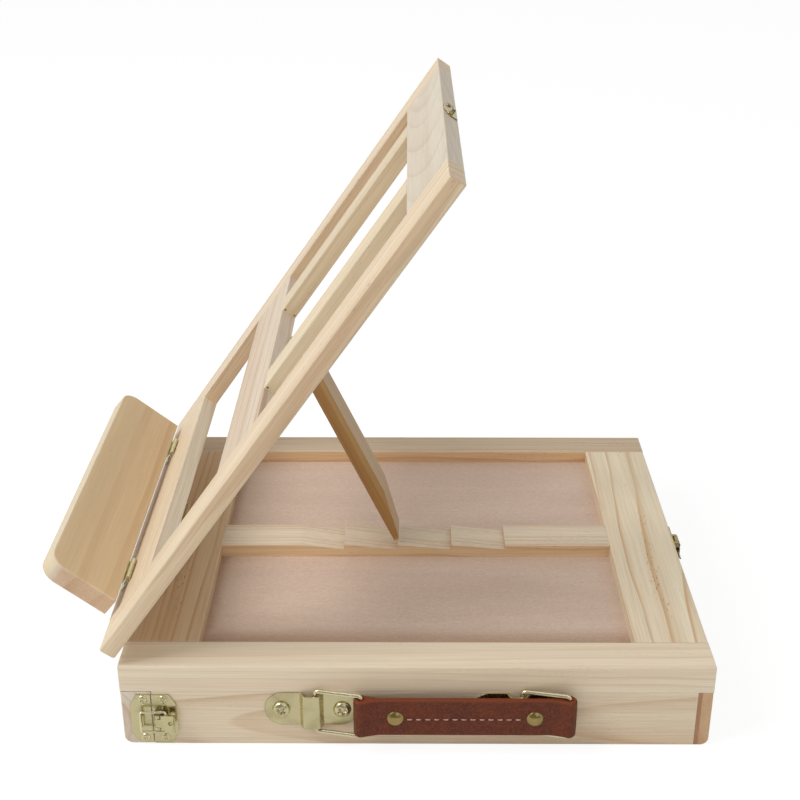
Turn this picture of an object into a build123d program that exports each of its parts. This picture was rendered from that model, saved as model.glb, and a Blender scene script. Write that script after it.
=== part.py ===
"""Tabletop sketch-box easel: a pine box with a drawer, a tilting easel frame, a ledge, a leg and a strap handle.

Millimetres, +Z up. The origin is the middle of the box's flat underside. X runs along the long side, from the
easel's hinge end (-X, where the drawer opens) to the catch end (+X). -Y is the side that carries the handle.
"""
import os
from math import asin, cos, degrees, radians, sin

from build123d import *

# ---- box carcass ------------------------------------------------------------------------------------------
box_length = 350.0
box_depth = 280.0
wall_height = 39.0
side_wall_thickness = 9.0
end_wall_thickness = 9.0
bottom_thickness = 3.0
end_corner_radius = 5.0
edge_softness = 0.8
joint_softness = 0.4

# ---- top frame and the sunk panel -------------------------------------------------------------------------
top_frame_thickness = 18.0
top_side_rail_width = 23.5
top_end_rail_width = 44.0
recess_depth = 9.0
panel_thickness = 3.0
panel_tongue = 4.0

# ---- ratchet rail -----------------------------------------------------------------------------------------
ratchet_width = 25.0
ratchet_pitch = 36.2
ratchet_notches = 4
ratchet_notch_depth = 3.2
ratchet_first_slope = 29.0
ratchet_last_wall_x = 60.3

# ---- drawer -----------------------------------------------------------------------------------------------
drawer_front_thickness = 18.0
drawer_side_thickness = 6.0
drawer_side_height = 31.0
drawer_bottom_thickness = 3.0
drawer_running_gap = 0.3
drawer_side_gap = 0.5
drawer_front_gap = 0.4
drawer_back_gap = 3.0
divider_thickness = 4.0
divider_height = 22.0
tray_row_depth = 88.0
brush_row_depth = 46.0

# ---- easel frame ------------------------------------------------------------------------------------------
easel_angle = 55.2
easel_length = 350.0
easel_thickness = 10.4
easel_setback = 1.0
stile_width = 30.0
stile_edge_radius = 1.6
bottom_rail_width = 48.5
crossbar_share = 0.354
crossbar_width = 42.4
top_rail_width = 37.0
slat_width = 24.6
slat_share = 0.535

# ---- hinges shared by the easel, the leg and the ledge ----------------------------------------------------
leaf_thickness = 1.0
hinge_pin_radius = 0.8
hinge_pin_clearance = 0.05
knuckle_gap = 0.3
easel_gap = 2.8
easel_knuckle_radius = 1.8
easel_hinge_overhang = 2.0
easel_hinge_length = 32.0
easel_hinge_share = 0.165
easel_leaf_width = 16.0
leaf_screw_reach = 0.62

# ---- support leg ------------------------------------------------------------------------------------------
leg_lean = 65.0
leg_width = 22.0
leg_thickness = 10.2
leg_foot_lift = 2.6
leg_bevel_length = 38.0
leg_toe_thickness = 3.6
leg_toe_radius = 1.2
leg_housing_depth = 8.6
leg_housing_clearance = 1.0
leg_head_radius = 3.0
leg_knuckle_radius = 1.6
leg_hinge_length = 22.0
leg_leaf_width = 12.0

# ---- ledge (the small shelf that a canvas stands on) ------------------------------------------------------
ledge_length = 222.0
ledge_width = 47.0
ledge_thickness = 12.6
ledge_height = 15.0
ledge_gap = 3.6
ledge_lift_angle = 4.0
ledge_corner_radius = 11.0
ledge_hinge_offset = 78.0
ledge_hinge_length = 20.0
ledge_leaf_width = 10.0
ledge_knuckle_radius = 1.7
ledge_pin_lift = 1.85
ledge_pin_rise = 1.3

# ---- small countersunk screws -----------------------------------------------------------------------------
screw_head_radius = 1.9
screw_shank_radius = 1.0
screw_shank_length = 7.0
screw_head_depth = 0.8
screw_crown = 0.25

# ---- draw catches -----------------------------------------------------------------------------------------
catch_plate_thickness = 0.8
catch_base_length = 15.0
catch_hook_plate_length = 12.5
catch_plate_width = 35.0
catch_plate_cut_along = 4.2
catch_plate_cut_across = 7.6
catch_seam_gap = 0.3
catch_center_z = 19.5
catch_screw_offset = 14.0
catch_screw_inset = 7.0
catch_screw_crown = 1.2
lever_pin_setback = 3.6
lever_pin_height = 3.4
lever_knuckle_radius = 1.9
lever_pin_radius = 0.8
lever_knuckle_width = 6.0
lug_width = 2.2
lever_width = 11.0
lever_length = 11.0
lever_thickness = 0.8
lever_hole_radius = 1.5
lever_tip_lift = 1.6
loop_pin_setback = 8.6
loop_pin_height = 3.6
loop_tube_radius = 1.25
loop_wire_radius = 0.7
loop_reach = 15.1
loop_half_width = 7.2
loop_corner_radius = 1.2
loop_clearance = 0.35
hook_width = 8.0
hook_height = 3.1
hook_start = 4.9
hook_lip = 1.2
hook_screw_inset = 5.0
end_loop_reach = 17.0
end_loop_angle = 180.0
end_catch_drop = 0.6
end_catch_width = 26.0
end_catch_screw_inset = 8.0
end_hook_margin = 0.6
end_hook_x = 3.0
end_hook_screw_inset = 6.2

# ---- strap handle -----------------------------------------------------------------------------------------
handle_z = 27.0
handle_first_plate_x = -62.0
handle_spacing = 122.0
handle_plate_thickness = 0.8
handle_plate_length = 56.0
handle_plate_width = 23.4
handle_screw_offset = 18.0
handle_screw_head_radius = 5.4
handle_screw_crown = 3.0
handle_screw_shank_radius = 1.8
bridge_width = 14.0
bridge_slope = 2.2
bridge_corner_radius = 1.4
bridge_wall_share = 1.4
ring_wire_radius = 1.3
ring_clearance = 0.3
ring_bar_offset = 2.2
ring_length = 27.6
ring_half_height = 14.6
ring_corner_radius = 2.2
ring_angle = 10.0
strap_height = 25.8
strap_thickness = 4.2
strap_eye_radius = 4.6
strap_eye_clearance = 0.35
strap_taper = 11.0
rivet_spacing = 82.0
rivet_head_radius = 5.2
rivet_crown = 2.2
rivet_back_radius = 3.2
rivet_back_thickness = 0.6
rivet_shank_radius = 2.0

# ---- derived levels and planes ----------------------------------------------------------------------------
half_length = box_length / 2
half_depth = box_depth / 2
box_height = wall_height + top_frame_thickness
inner_half_depth = half_depth - side_wall_thickness
seam_x = -half_length + drawer_front_thickness
panel_top = box_height - recess_depth
easel_pin_x = -half_length - easel_hinge_overhang
easel_pin_height = easel_gap / 2
easel_pin_z = box_height + easel_pin_height
easel_hinge_offset = half_depth * easel_hinge_share

tilt = radians(easel_angle)
along = Vector(cos(tilt), 0, sin(tilt))
outward = Vector(-sin(tilt), 0, cos(tilt))
easel_pin = Vector(easel_pin_x, 0, easel_pin_z)
easel_corner = easel_pin + along * (easel_hinge_overhang + easel_setback) + outward * easel_pin_height
easel_plane = Plane(origin=easel_corner, x_dir=along, z_dir=outward)

opening_end = easel_length - top_rail_width
crossbar_start = easel_length * crossbar_share
crossbar_end = crossbar_start + crossbar_width
leg_pin_u = crossbar_end + leg_knuckle_radius + hinge_pin_clearance + 0.1
leg_pin_height = leaf_thickness / 2
leg_pin = easel_corner + along * leg_pin_u - outward * leg_pin_height
leg_start = leg_knuckle_radius + hinge_pin_clearance + 0.1
leg_drop = leg_pin.Z - box_height - leg_foot_lift
leg_angle = radians(leg_lean)
leg_length = (leg_drop + leg_pin_height * cos(leg_angle)) / sin(leg_angle)
leg_end_u = leg_pin_u + leg_length
leg_along = Vector(cos(leg_angle), 0, -sin(leg_angle))
leg_normal = Vector(sin(leg_angle), 0, cos(leg_angle))

ledge_pin_u = ledge_height + ledge_pin_rise
ledge_pin_o = easel_thickness + ledge_pin_lift
ledge_edge_lift = ledge_gap - ledge_pin_lift
ledge_pin = easel_corner + along * ledge_pin_u + outward * ledge_pin_o
ledge_lift = radians(ledge_lift_angle)
ledge_outward = outward * cos(ledge_lift) + along * sin(ledge_lift)
ledge_upward = along * cos(ledge_lift) - outward * sin(ledge_lift)

near_face = Plane(origin=(0, -half_depth, 0), x_dir=(1, 0, 0), z_dir=(0, -1, 0))


def finish(piece, name):
    """Label one finished sub-part and write its STEP file."""
    piece.part.label = name
    export_step(piece.part, f"parts/{name}.step")


def seat(plane, x, y, height=0.0):
    """A plane parallel to the given one, at its local point x, y and height."""
    return Plane(origin=plane.from_local_coords(Vector(x, y, height)), x_dir=plane.x_dir, z_dir=plane.z_dir)


def lathe_plane(base):
    """The plane through a seat's normal: its x is the radius and its y the height above the seat."""
    return Plane(origin=base.origin, x_dir=base.x_dir, z_dir=-base.y_dir)


def screw_group(seats, head_radius, head_depth, crown, shank_radius, shank_length):
    """Screws as separate solids, one on each seat plane: a shank, a countersink and a low domed crown."""
    with BuildPart() as group:
        for base in seats:
            with BuildSketch(lathe_plane(base)):
                with BuildLine():
                    sag = ThreePointArc((0, crown), (head_radius * 0.6, crown * 0.72), (head_radius, 0))
                    Polyline(
                        sag @ 1,
                        (shank_radius, -head_depth),
                        (shank_radius, -shank_length),
                        (0, -shank_length),
                        (0, crown),
                    )
                make_face()
            revolve(axis=Axis(base.origin, base.z_dir))
    return group


def small_screws(seats, crown=screw_crown):
    return screw_group(seats, screw_head_radius, screw_head_depth, crown, screw_shank_radius, screw_shank_length)


def hinge_leaf(plane, length, width, pin_height, knuckle_radius, spans, holes):
    """One butt-hinge leaf. The pin lies on the plane's local Y and the leaf reaches along its local X.

    The plane's normal points away from the wood, whose face lies pin_height under the pin. The knuckles fill
    the given spans along the pin.
    """
    across = Plane(origin=plane.origin, x_dir=plane.x_dir, z_dir=-plane.y_dir)
    with BuildPart() as leaf:
        with BuildSketch(plane.offset(-pin_height)):
            with Locations((knuckle_radius + knuckle_gap + (width - knuckle_radius - knuckle_gap) / 2, 0)):
                Rectangle(width - knuckle_radius - knuckle_gap, length)
        extrude(amount=leaf_thickness)
        for start, stop in spans:
            with BuildSketch(across.offset(-stop)):
                Circle(knuckle_radius)
                with Locations(((knuckle_radius + knuckle_gap) / 2, leaf_thickness / 2 - pin_height)):
                    Rectangle(knuckle_radius + knuckle_gap, leaf_thickness)
            extrude(amount=stop - start)
        with BuildSketch(across.offset(-length)):
            Circle(hinge_pin_radius + hinge_pin_clearance)
        extrude(amount=2 * length, mode=Mode.SUBTRACT)
        add(holes, mode=Mode.SUBTRACT)
    return leaf.part


def knuckle_spans(length):
    """The outer and the middle knuckle stretches of a three-knuckle hinge."""
    third = length / 3
    outer = [(-length / 2, -third / 2 - knuckle_gap / 2), (third / 2 + knuckle_gap / 2, length / 2)]
    middle = [(-third / 2 + knuckle_gap / 2, third / 2 - knuckle_gap / 2)]
    return outer, middle


def hinge_pin(plane, length):
    with BuildPart() as pin:
        with BuildSketch(Plane(origin=plane.origin, x_dir=plane.x_dir, z_dir=plane.y_dir).offset(-length / 2)):
            Circle(hinge_pin_radius)
        extrude(amount=length)
    return pin.part


def leaf_seats(plane, length, width, pin_height):
    """Two screw seats on a leaf's open face."""
    height = leaf_thickness - pin_height
    return [seat(plane, width * leaf_screw_reach, length * part, height) for part in (-0.3, 0.3)]


def gather(leaves):
    """Several leaves as one sub-part of separate solids."""
    with BuildPart() as group:
        for leaf in leaves:
            add(leaf)
    return group


def box_span(x_span, y_span, z_span):
    """A plain board between the given limits."""
    with BuildPart() as board:
        with BuildSketch(Plane.XY.offset(z_span[0])):
            with Locations(((x_span[0] + x_span[1]) / 2, (y_span[0] + y_span[1]) / 2)):
                Rectangle(x_span[1] - x_span[0], y_span[1] - y_span[0])
        extrude(amount=z_span[1] - z_span[0])
    return board.part


def wire_ring(plane, x_reach, half_width, corner, wire):
    """A closed rectangular ring of round wire: one side lies on the plane's local Y axis."""
    with BuildPart() as ring:
        with BuildLine(plane) as path:
            FilletPolyline(
                (0, -half_width),
                (x_reach, -half_width),
                (x_reach, half_width),
                (0, half_width),
                radius=corner,
                close=True,
            )
        with BuildSketch(Plane(origin=path.line @ 0, z_dir=path.line % 0)):
            Circle(wire)
        sweep(path=path.line)
    return ring.part


os.makedirs("parts", exist_ok=True)

# ---- hinge planes and their screws ------------------------------------------------------------------------
easel_hinge_points = [Vector(easel_pin_x, y, easel_pin_z) for y in (-easel_hinge_offset, easel_hinge_offset)]
box_leaf_planes = [Plane(origin=point, x_dir=(1, 0, 0), z_dir=(0, 0, 1)) for point in easel_hinge_points]
frame_leaf_planes = [Plane(origin=point, x_dir=along, z_dir=-outward) for point in easel_hinge_points]
crossbar_leaf_plane = Plane(origin=leg_pin, x_dir=-along, z_dir=-outward)
leg_leaf_plane = Plane(origin=leg_pin, x_dir=leg_along, z_dir=-leg_normal)

ledge_hinge_points = [ledge_pin + Vector(0, y, 0) for y in (-ledge_hinge_offset, ledge_hinge_offset)]
ledge_frame_planes = [Plane(origin=point, x_dir=-along, z_dir=outward) for point in ledge_hinge_points]
ledge_leaf_planes = [Plane(origin=point, x_dir=-ledge_upward, z_dir=-ledge_outward) for point in ledge_hinge_points]

# ---- catch planes: local x points from the catch to its hook, local z out of the wood ----------------------
near_catch = Plane(origin=(seam_x, -half_depth, catch_center_z), x_dir=(-1, 0, 0), z_dir=(0, -1, 0))
far_catch = Plane(origin=(seam_x, half_depth, catch_center_z), x_dir=(-1, 0, 0), z_dir=(0, 1, 0))
end_catch = Plane(origin=(half_length, 0, box_height - end_catch_drop), x_dir=(0, 0, 1), z_dir=(1, 0, 0))
easel_end = Plane(
    origin=easel_corner + along * easel_length, x_dir=outward, z_dir=along
)


def catch_seats(plane, x, width):
    offset = width / 2 - (catch_plate_width / 2 - catch_screw_offset)
    return [seat(plane, x, y, catch_plate_thickness) for y in (-offset, offset)]


catch_base_seats = (
    catch_seats(near_catch, -catch_screw_inset, catch_plate_width)
    + catch_seats(far_catch, -catch_screw_inset, catch_plate_width)
    + catch_seats(end_catch, -end_catch_screw_inset, end_catch_width)
)
drawer_hook_seats = catch_seats(near_catch, hook_screw_inset, catch_plate_width) + catch_seats(
    far_catch, hook_screw_inset, catch_plate_width
)
end_hook_seats = catch_seats(easel_end, end_hook_screw_inset, end_catch_width)

box_leaf_seats = [
    spot
    for plane in box_leaf_planes
    for spot in leaf_seats(plane, easel_hinge_length, easel_leaf_width, easel_pin_height)
]
easel_seats = leaf_seats(crossbar_leaf_plane, leg_hinge_length, leg_leaf_width, leg_pin_height)
for plane in frame_leaf_planes:
    easel_seats += leaf_seats(plane, easel_hinge_length, easel_leaf_width, easel_pin_height)
for plane in ledge_frame_planes:
    easel_seats += leaf_seats(plane, ledge_hinge_length, ledge_leaf_width, ledge_pin_lift)
ledge_seats = [
    spot
    for plane in ledge_leaf_planes
    for spot in leaf_seats(plane, ledge_hinge_length, ledge_leaf_width, ledge_edge_lift)
]
leg_seats = leaf_seats(leg_leaf_plane, leg_hinge_length, leg_leaf_width, leg_pin_height)

box_hinge_screws = small_screws(box_leaf_seats)
catch_screws = small_screws(catch_base_seats, crown=catch_screw_crown)
drawer_hook_screws = small_screws(drawer_hook_seats, crown=catch_screw_crown)
end_hook_screws = small_screws(end_hook_seats, crown=catch_screw_crown)
easel_screws = small_screws(easel_seats)
ledge_screws = small_screws(ledge_seats)
leg_screws = small_screws(leg_seats)
finish(box_hinge_screws, "easel_hinge_box_screws")
finish(catch_screws, "catch_base_screws")
finish(drawer_hook_screws, "drawer_hook_screws")
finish(end_hook_screws, "end_hook_screws")
finish(easel_screws, "easel_hinge_screws")
finish(ledge_screws, "ledge_hinge_screws")
finish(leg_screws, "leg_hinge_screws")

# ---- handle screws ------------------------------------------------------------------------------------------
handle_plate_xs = [handle_first_plate_x, handle_first_plate_x + handle_spacing]
handle_seats = [
    seat(near_face, plate_x + side * handle_screw_offset, handle_z, handle_plate_thickness)
    for plate_x in handle_plate_xs
    for side in (-1, 1)
]
handle_screws = screw_group(
    handle_seats,
    handle_screw_head_radius,
    0.0,
    handle_screw_crown,
    handle_screw_shank_radius,
    side_wall_thickness - 1,
)
finish(handle_screws, "handle_screws")

# ---- box carcass ------------------------------------------------------------------------------------------
wall_start = seam_x + drawer_front_gap
end_wall_inner = half_length - end_wall_thickness
for side, sign in (("near", -1), ("far", 1)):
    with BuildPart() as side_wall:
        with BuildSketch(Plane.XY):
            with Locations(((wall_start + end_wall_inner) / 2, sign * (half_depth - side_wall_thickness / 2))):
                Rectangle(end_wall_inner - wall_start, side_wall_thickness)
        extrude(amount=wall_height)
        outer_edges = side_wall.edges().filter_by(Axis.X).sort_by(Axis((0, 0, 0), (0, sign, 0)))[-2:]
        fillet(outer_edges.sort_by(Axis.Z)[0], radius=edge_softness)
        add(catch_screws.part, mode=Mode.SUBTRACT)
        add(handle_screws.part, mode=Mode.SUBTRACT)
    finish(side_wall, f"side_wall_{side}")

with BuildPart() as end_wall:
    with BuildSketch(Plane.XY):
        with Locations((half_length - end_wall_thickness / 2, 0)):
            Rectangle(end_wall_thickness, box_depth)
    extrude(amount=wall_height)
    low_outer_edge = end_wall.edges().filter_by(Axis.Y).group_by(Axis.Z)[0].sort_by(Axis.X)[-1]
    fillet(low_outer_edge, radius=end_corner_radius)
    corner_edges = end_wall.edges().filter_by(Axis.Z).group_by(Axis.X)[-1]
    fillet(corner_edges, radius=edge_softness)
finish(end_wall, "end_wall")

with BuildPart() as bottom_panel:
    add(box_span((wall_start, end_wall_inner), (-inner_half_depth, inner_half_depth), (0, bottom_thickness)))
finish(bottom_panel, "bottom_panel")

# ---- top frame ----------------------------------------------------------------------------------------------
recess_x = half_length - top_end_rail_width
recess_y = half_depth - top_side_rail_width
with BuildPart() as top_panel:
    add(
        box_span(
            (-recess_x - panel_tongue, recess_x + panel_tongue),
            (-recess_y - panel_tongue, recess_y + panel_tongue),
            (panel_top - panel_thickness, panel_top),
        )
    )
finish(top_panel, "top_panel")

for side, sign in (("near", -1), ("far", 1)):
    with BuildPart() as top_rail:
        with BuildSketch(Plane.XY.offset(wall_height)):
            with Locations((0, sign * (half_depth - top_side_rail_width / 2))):
                Rectangle(box_length, top_side_rail_width)
        extrude(amount=top_frame_thickness)
        top_edges = top_rail.edges().filter_by(Axis.X).group_by(Axis.Z)[-1]
        by_side = top_edges.sort_by(Axis((0, 0, 0), (0, sign, 0)))
        fillet(by_side[-1], radius=edge_softness)
        fillet(by_side[0], radius=joint_softness)
        add(top_panel.part, mode=Mode.SUBTRACT)
    finish(top_rail, f"top_rail_{side}")

for side, sign in (("hinge", -1), ("catch", 1)):
    with BuildPart() as end_rail:
        with BuildSketch(Plane.XY.offset(wall_height)):
            with Locations((sign * (half_length - top_end_rail_width / 2), 0)):
                Rectangle(top_end_rail_width, 2 * recess_y)
        extrude(amount=top_frame_thickness)
        top_edges = end_rail.edges().filter_by(Axis.Y).group_by(Axis.Z)[-1]
        by_side = top_edges.sort_by(Axis((0, 0, 0), (sign, 0, 0)))
        fillet(by_side[-1], radius=edge_softness)
        fillet(by_side[0], radius=joint_softness)
        add(top_panel.part, mode=Mode.SUBTRACT)
        add(box_hinge_screws.part, mode=Mode.SUBTRACT)
        add(catch_screws.part, mode=Mode.SUBTRACT)
    finish(end_rail, f"top_end_rail_{side}")

with BuildPart() as ratchet_rail:
    with BuildSketch(Plane(origin=(0, ratchet_width / 2, 0), x_dir=(1, 0, 0), z_dir=(0, -1, 0))):
        with BuildLine():
            first_wall = ratchet_last_wall_x - (ratchet_notches - 1) * ratchet_pitch
            outline = [
                (-recess_x, panel_top),
                (-recess_x, box_height),
                (first_wall - ratchet_first_slope, box_height),
            ]
            for number in range(ratchet_notches):
                wall_x = first_wall + number * ratchet_pitch
                outline += [(wall_x, box_height - ratchet_notch_depth), (wall_x, box_height)]
            outline += [(recess_x, box_height), (recess_x, panel_top)]
            Polyline(*outline, close=True)
        make_face()
    extrude(amount=ratchet_width)
finish(ratchet_rail, "ratchet_rail")

# ---- drawer -------------------------------------------------------------------------------------------------
drawer_floor = bottom_thickness + drawer_running_gap
drawer_half_width = inner_half_depth - drawer_side_gap
drawer_inner_half = drawer_half_width - drawer_side_thickness
drawer_back_end = end_wall_inner - drawer_back_gap
drawer_back_start = drawer_back_end - drawer_side_thickness
with BuildPart() as drawer_front:
    with BuildSketch(Plane.XY.offset(drawer_front_gap)):
        with Locations((-half_length + drawer_front_thickness / 2, 0)):
            Rectangle(drawer_front_thickness, box_depth)
    extrude(amount=wall_height - 2 * drawer_front_gap)
    low_outer_edge = drawer_front.edges().filter_by(Axis.Y).group_by(Axis.Z)[0].sort_by(Axis.X)[0]
    fillet(low_outer_edge, radius=end_corner_radius)
    corner_edges = drawer_front.edges().filter_by(Axis.Z).group_by(Axis.X)[0]
    fillet(corner_edges, radius=edge_softness)
    add(drawer_hook_screws.part, mode=Mode.SUBTRACT)
finish(drawer_front, "drawer_front")

for side, sign in (("near", -1), ("far", 1)):
    with BuildPart() as drawer_side:
        with BuildSketch(Plane.XY.offset(drawer_floor)):
            with Locations(
                ((seam_x + drawer_back_end) / 2, sign * (drawer_half_width - drawer_side_thickness / 2))
            ):
                Rectangle(drawer_back_end - seam_x, drawer_side_thickness)
        extrude(amount=drawer_side_height)
        fillet(drawer_side.edges().filter_by(Axis.X).group_by(Axis.Z)[-1], radius=edge_softness)
    finish(drawer_side, f"drawer_side_{side}")

with BuildPart() as drawer_back:
    add(
        box_span(
            (drawer_back_start, drawer_back_end),
            (-drawer_inner_half, drawer_inner_half),
            (drawer_floor, drawer_floor + drawer_side_height),
        )
    )
finish(drawer_back, "drawer_back")

drawer_bottom_top = drawer_floor + drawer_bottom_thickness
with BuildPart() as drawer_bottom:
    add(
        box_span(
            (seam_x, drawer_back_start),
            (-drawer_inner_half, drawer_inner_half),
            (drawer_floor, drawer_bottom_top),
        )
    )
finish(drawer_bottom, "drawer_bottom")

# the two long dividers leave a brush row on the near side, a wide row in the middle and a tube row behind
long_divider_ys = [-drawer_inner_half + brush_row_depth, drawer_inner_half - tray_row_depth]
with BuildPart() as drawer_long_dividers:
    for divider_y in long_divider_ys:
        with BuildSketch(Plane.XY.offset(drawer_bottom_top)):
            with Locations(((seam_x + drawer_back_start) / 2, divider_y)):
                Rectangle(drawer_back_start - seam_x, divider_thickness)
        extrude(amount=divider_height)
finish(drawer_long_dividers, "drawer_long_dividers")

with BuildPart() as drawer_cross_dividers:
    row_start = long_divider_ys[1] + divider_thickness / 2
    for part in (1 / 3, 2 / 3):
        divider_x = seam_x + (drawer_back_start - seam_x) * part
        with BuildSketch(Plane.XY.offset(drawer_bottom_top)):
            with Locations((divider_x, (row_start + drawer_inner_half) / 2)):
                Rectangle(divider_thickness, drawer_inner_half - row_start)
        extrude(amount=divider_height)
finish(drawer_cross_dividers, "drawer_cross_dividers")

# ---- easel frame --------------------------------------------------------------------------------------------
half_opening = half_depth - stile_width
for side, sign in (("near", -1), ("far", 1)):
    with BuildPart() as stile:
        with BuildSketch(easel_plane):
            with Locations((easel_length / 2, sign * (half_depth - stile_width / 2))):
                Rectangle(easel_length, stile_width)
        extrude(amount=easel_thickness)
        long_edges = stile.edges().filter_by(Axis((0, 0, 0), along))
        fillet(long_edges.sort_by(Axis((0, 0, 0), (0, sign, 0)))[-2:], radius=stile_edge_radius)
        front_low_edge = stile.faces().sort_by(Axis((0, 0, 0), along))[0].edges().sort_by(
            Axis((0, 0, 0), outward)
        )[-1]
        fillet(front_low_edge, radius=stile_edge_radius)
        add(easel_screws.part, mode=Mode.SUBTRACT)
    finish(stile, f"easel_stile_{side}")

easel_bars = {
    "easel_bottom_rail": (0, bottom_rail_width),
    "easel_crossbar": (crossbar_start, crossbar_end),
    "easel_top_rail": (opening_end, easel_length),
}
housing_length = leg_end_u + leg_housing_clearance - opening_end
for name, u_span in easel_bars.items():
    with BuildPart() as bar:
        with BuildSketch(easel_plane):
            with Locations(((u_span[0] + u_span[1]) / 2, 0)):
                Rectangle(u_span[1] - u_span[0], 2 * half_opening)
        extrude(amount=easel_thickness)
        front_edges = bar.faces().sort_by(Axis((0, 0, 0), outward))[-1].edges().filter_by(Axis.Y)
        fillet(front_edges, radius=joint_softness)
        add(easel_screws.part, mode=Mode.SUBTRACT)
        add(end_hook_screws.part, mode=Mode.SUBTRACT)
        # the folded leg's toe lies in a shallow housing in the back of the top rail
        with BuildSketch(easel_plane):
            with Locations((leg_end_u + leg_housing_clearance - housing_length / 2, 0)):
                Rectangle(housing_length, leg_width + 2 * leg_housing_clearance)
        extrude(amount=leg_housing_depth, mode=Mode.SUBTRACT)
    finish(bar, name)

for side, slat_y in (("near", -half_opening * slat_share), ("far", half_opening * slat_share)):
    with BuildPart() as slat:
        with BuildSketch(easel_plane):
            with Locations(((crossbar_end + opening_end) / 2, slat_y)):
                Rectangle(opening_end - crossbar_end, slat_width)
        extrude(amount=easel_thickness)
        fillet(slat.edges().filter_by(Axis((0, 0, 0), along)), radius=joint_softness)
    finish(slat, f"easel_slat_{side}")

# ---- easel hinges -------------------------------------------------------------------------------------------
outer_spans, middle_spans = knuckle_spans(easel_hinge_length)
box_leaves = gather(
    hinge_leaf(
        plane,
        easel_hinge_length,
        easel_leaf_width,
        easel_pin_height,
        easel_knuckle_radius,
        outer_spans,
        box_hinge_screws.part,
    )
    for plane in box_leaf_planes
)
finish(box_leaves, "easel_hinge_box_leaves")
frame_leaves = gather(
    hinge_leaf(
        plane,
        easel_hinge_length,
        easel_leaf_width,
        easel_pin_height,
        easel_knuckle_radius,
        middle_spans,
        easel_screws.part,
    )
    for plane in frame_leaf_planes
)
finish(frame_leaves, "easel_hinge_frame_leaves")
finish(gather(hinge_pin(plane, easel_hinge_length) for plane in box_leaf_planes), "easel_hinge_pins")

# ---- support leg and its hinge --------------------------------------------------------------------------------
with BuildPart() as support_leg:
    with BuildSketch(Plane(origin=leg_pin, x_dir=leg_along, z_dir=(0, -1, 0)).offset(-leg_width / 2)):
        with BuildLine():
            back = leg_pin_height
            front = back + leg_thickness
            Polyline(
                (leg_start, back),
                (leg_length, back),
                (leg_length, back + leg_toe_thickness),
                (leg_length - leg_bevel_length, front),
                (leg_start, front),
                close=True,
            )
        make_face()
    extrude(amount=leg_width)
    head_edges = support_leg.edges().filter_by(Axis.Y).sort_by(Axis((0, 0, 0), leg_along))[:2]
    fillet(head_edges.sort_by(Axis((0, 0, 0), leg_normal))[-1], radius=leg_head_radius)
    toe_edges = support_leg.edges().filter_by(Axis.Y).group_by(Axis((0, 0, 0), leg_along))[-1]
    fillet(toe_edges, radius=leg_toe_radius)
    add(leg_screws.part, mode=Mode.SUBTRACT)
finish(support_leg, "support_leg")

outer_spans, middle_spans = knuckle_spans(leg_hinge_length)
crossbar_leaf = gather(
    [
        hinge_leaf(
            crossbar_leaf_plane,
            leg_hinge_length,
            leg_leaf_width,
            leg_pin_height,
            leg_knuckle_radius,
            outer_spans,
            easel_screws.part,
        )
    ]
)
finish(crossbar_leaf, "leg_hinge_crossbar_leaf")
leg_leaf = gather(
    [
        hinge_leaf(
            leg_leaf_plane,
            leg_hinge_length,
            leg_leaf_width,
            leg_pin_height,
            leg_knuckle_radius,
            middle_spans,
            leg_screws.part,
        )
    ]
)
finish(leg_leaf, "leg_hinge_leg_leaf")
finish(gather([hinge_pin(crossbar_leaf_plane, leg_hinge_length)]), "leg_hinge_pin")

# ---- ledge and its hinges ---------------------------------------------------------------------------------------
ledge_base = Plane(
    origin=ledge_pin - ledge_upward * (ledge_pin_rise + ledge_thickness), x_dir=ledge_outward, z_dir=ledge_upward
)
with BuildPart() as ledge:
    with BuildSketch(ledge_base):
        with Locations((ledge_edge_lift + ledge_width / 2, 0)):
            shelf = Rectangle(ledge_width, ledge_length)
        fillet(shelf.vertices().sort_by(Axis.X)[-2:], radius=ledge_corner_radius)
    extrude(amount=ledge_thickness)
    for face in ledge.faces().filter_by(Axis((0, 0, 0), ledge_upward)):
        fillet(face.edges(), radius=edge_softness)
    add(ledge_screws.part, mode=Mode.SUBTRACT)
finish(ledge, "ledge")

outer_spans, middle_spans = knuckle_spans(ledge_hinge_length)
ledge_frame_leaves = gather(
    hinge_leaf(
        plane,
        ledge_hinge_length,
        ledge_leaf_width,
        ledge_pin_lift,
        ledge_knuckle_radius,
        outer_spans,
        easel_screws.part,
    )
    for plane in ledge_frame_planes
)
finish(ledge_frame_leaves, "ledge_hinge_frame_leaves")
ledge_leaves = gather(
    hinge_leaf(
        plane,
        ledge_hinge_length,
        ledge_leaf_width,
        ledge_edge_lift,
        ledge_knuckle_radius,
        middle_spans,
        ledge_screws.part,
    )
    for plane in ledge_leaf_planes
)
finish(ledge_leaves, "ledge_hinge_leaves")
finish(gather(hinge_pin(plane, ledge_hinge_length) for plane in ledge_frame_planes), "ledge_hinge_pins")


# ---- draw catches ---------------------------------------------------------------------------------------------
def section_plane(plane):
    """The catch's side view: local x stays, local y is the height off the wood."""
    return Plane(origin=plane.origin, x_dir=plane.x_dir, z_dir=-plane.y_dir)


def catch_plate(plane, start, stop, width, cut_side):
    """A flat plate from start to stop along the catch; cut_side is +1 or -1 for the end with cut corners."""
    cut_end, square_end = (stop, start) if cut_side > 0 else (start, stop)
    shoulder = cut_end - cut_side * catch_plate_cut_along
    half_width = width / 2
    half_nose = half_width - catch_plate_cut_across
    with BuildPart() as plate:
        with BuildSketch(plane):
            Polygon(
                (square_end, -half_width),
                (shoulder, -half_width),
                (cut_end, -half_nose),
                (cut_end, half_nose),
                (shoulder, half_width),
                (square_end, half_width),
                align=None,
            )
        extrude(amount=catch_plate_thickness)
    return plate.part


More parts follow.
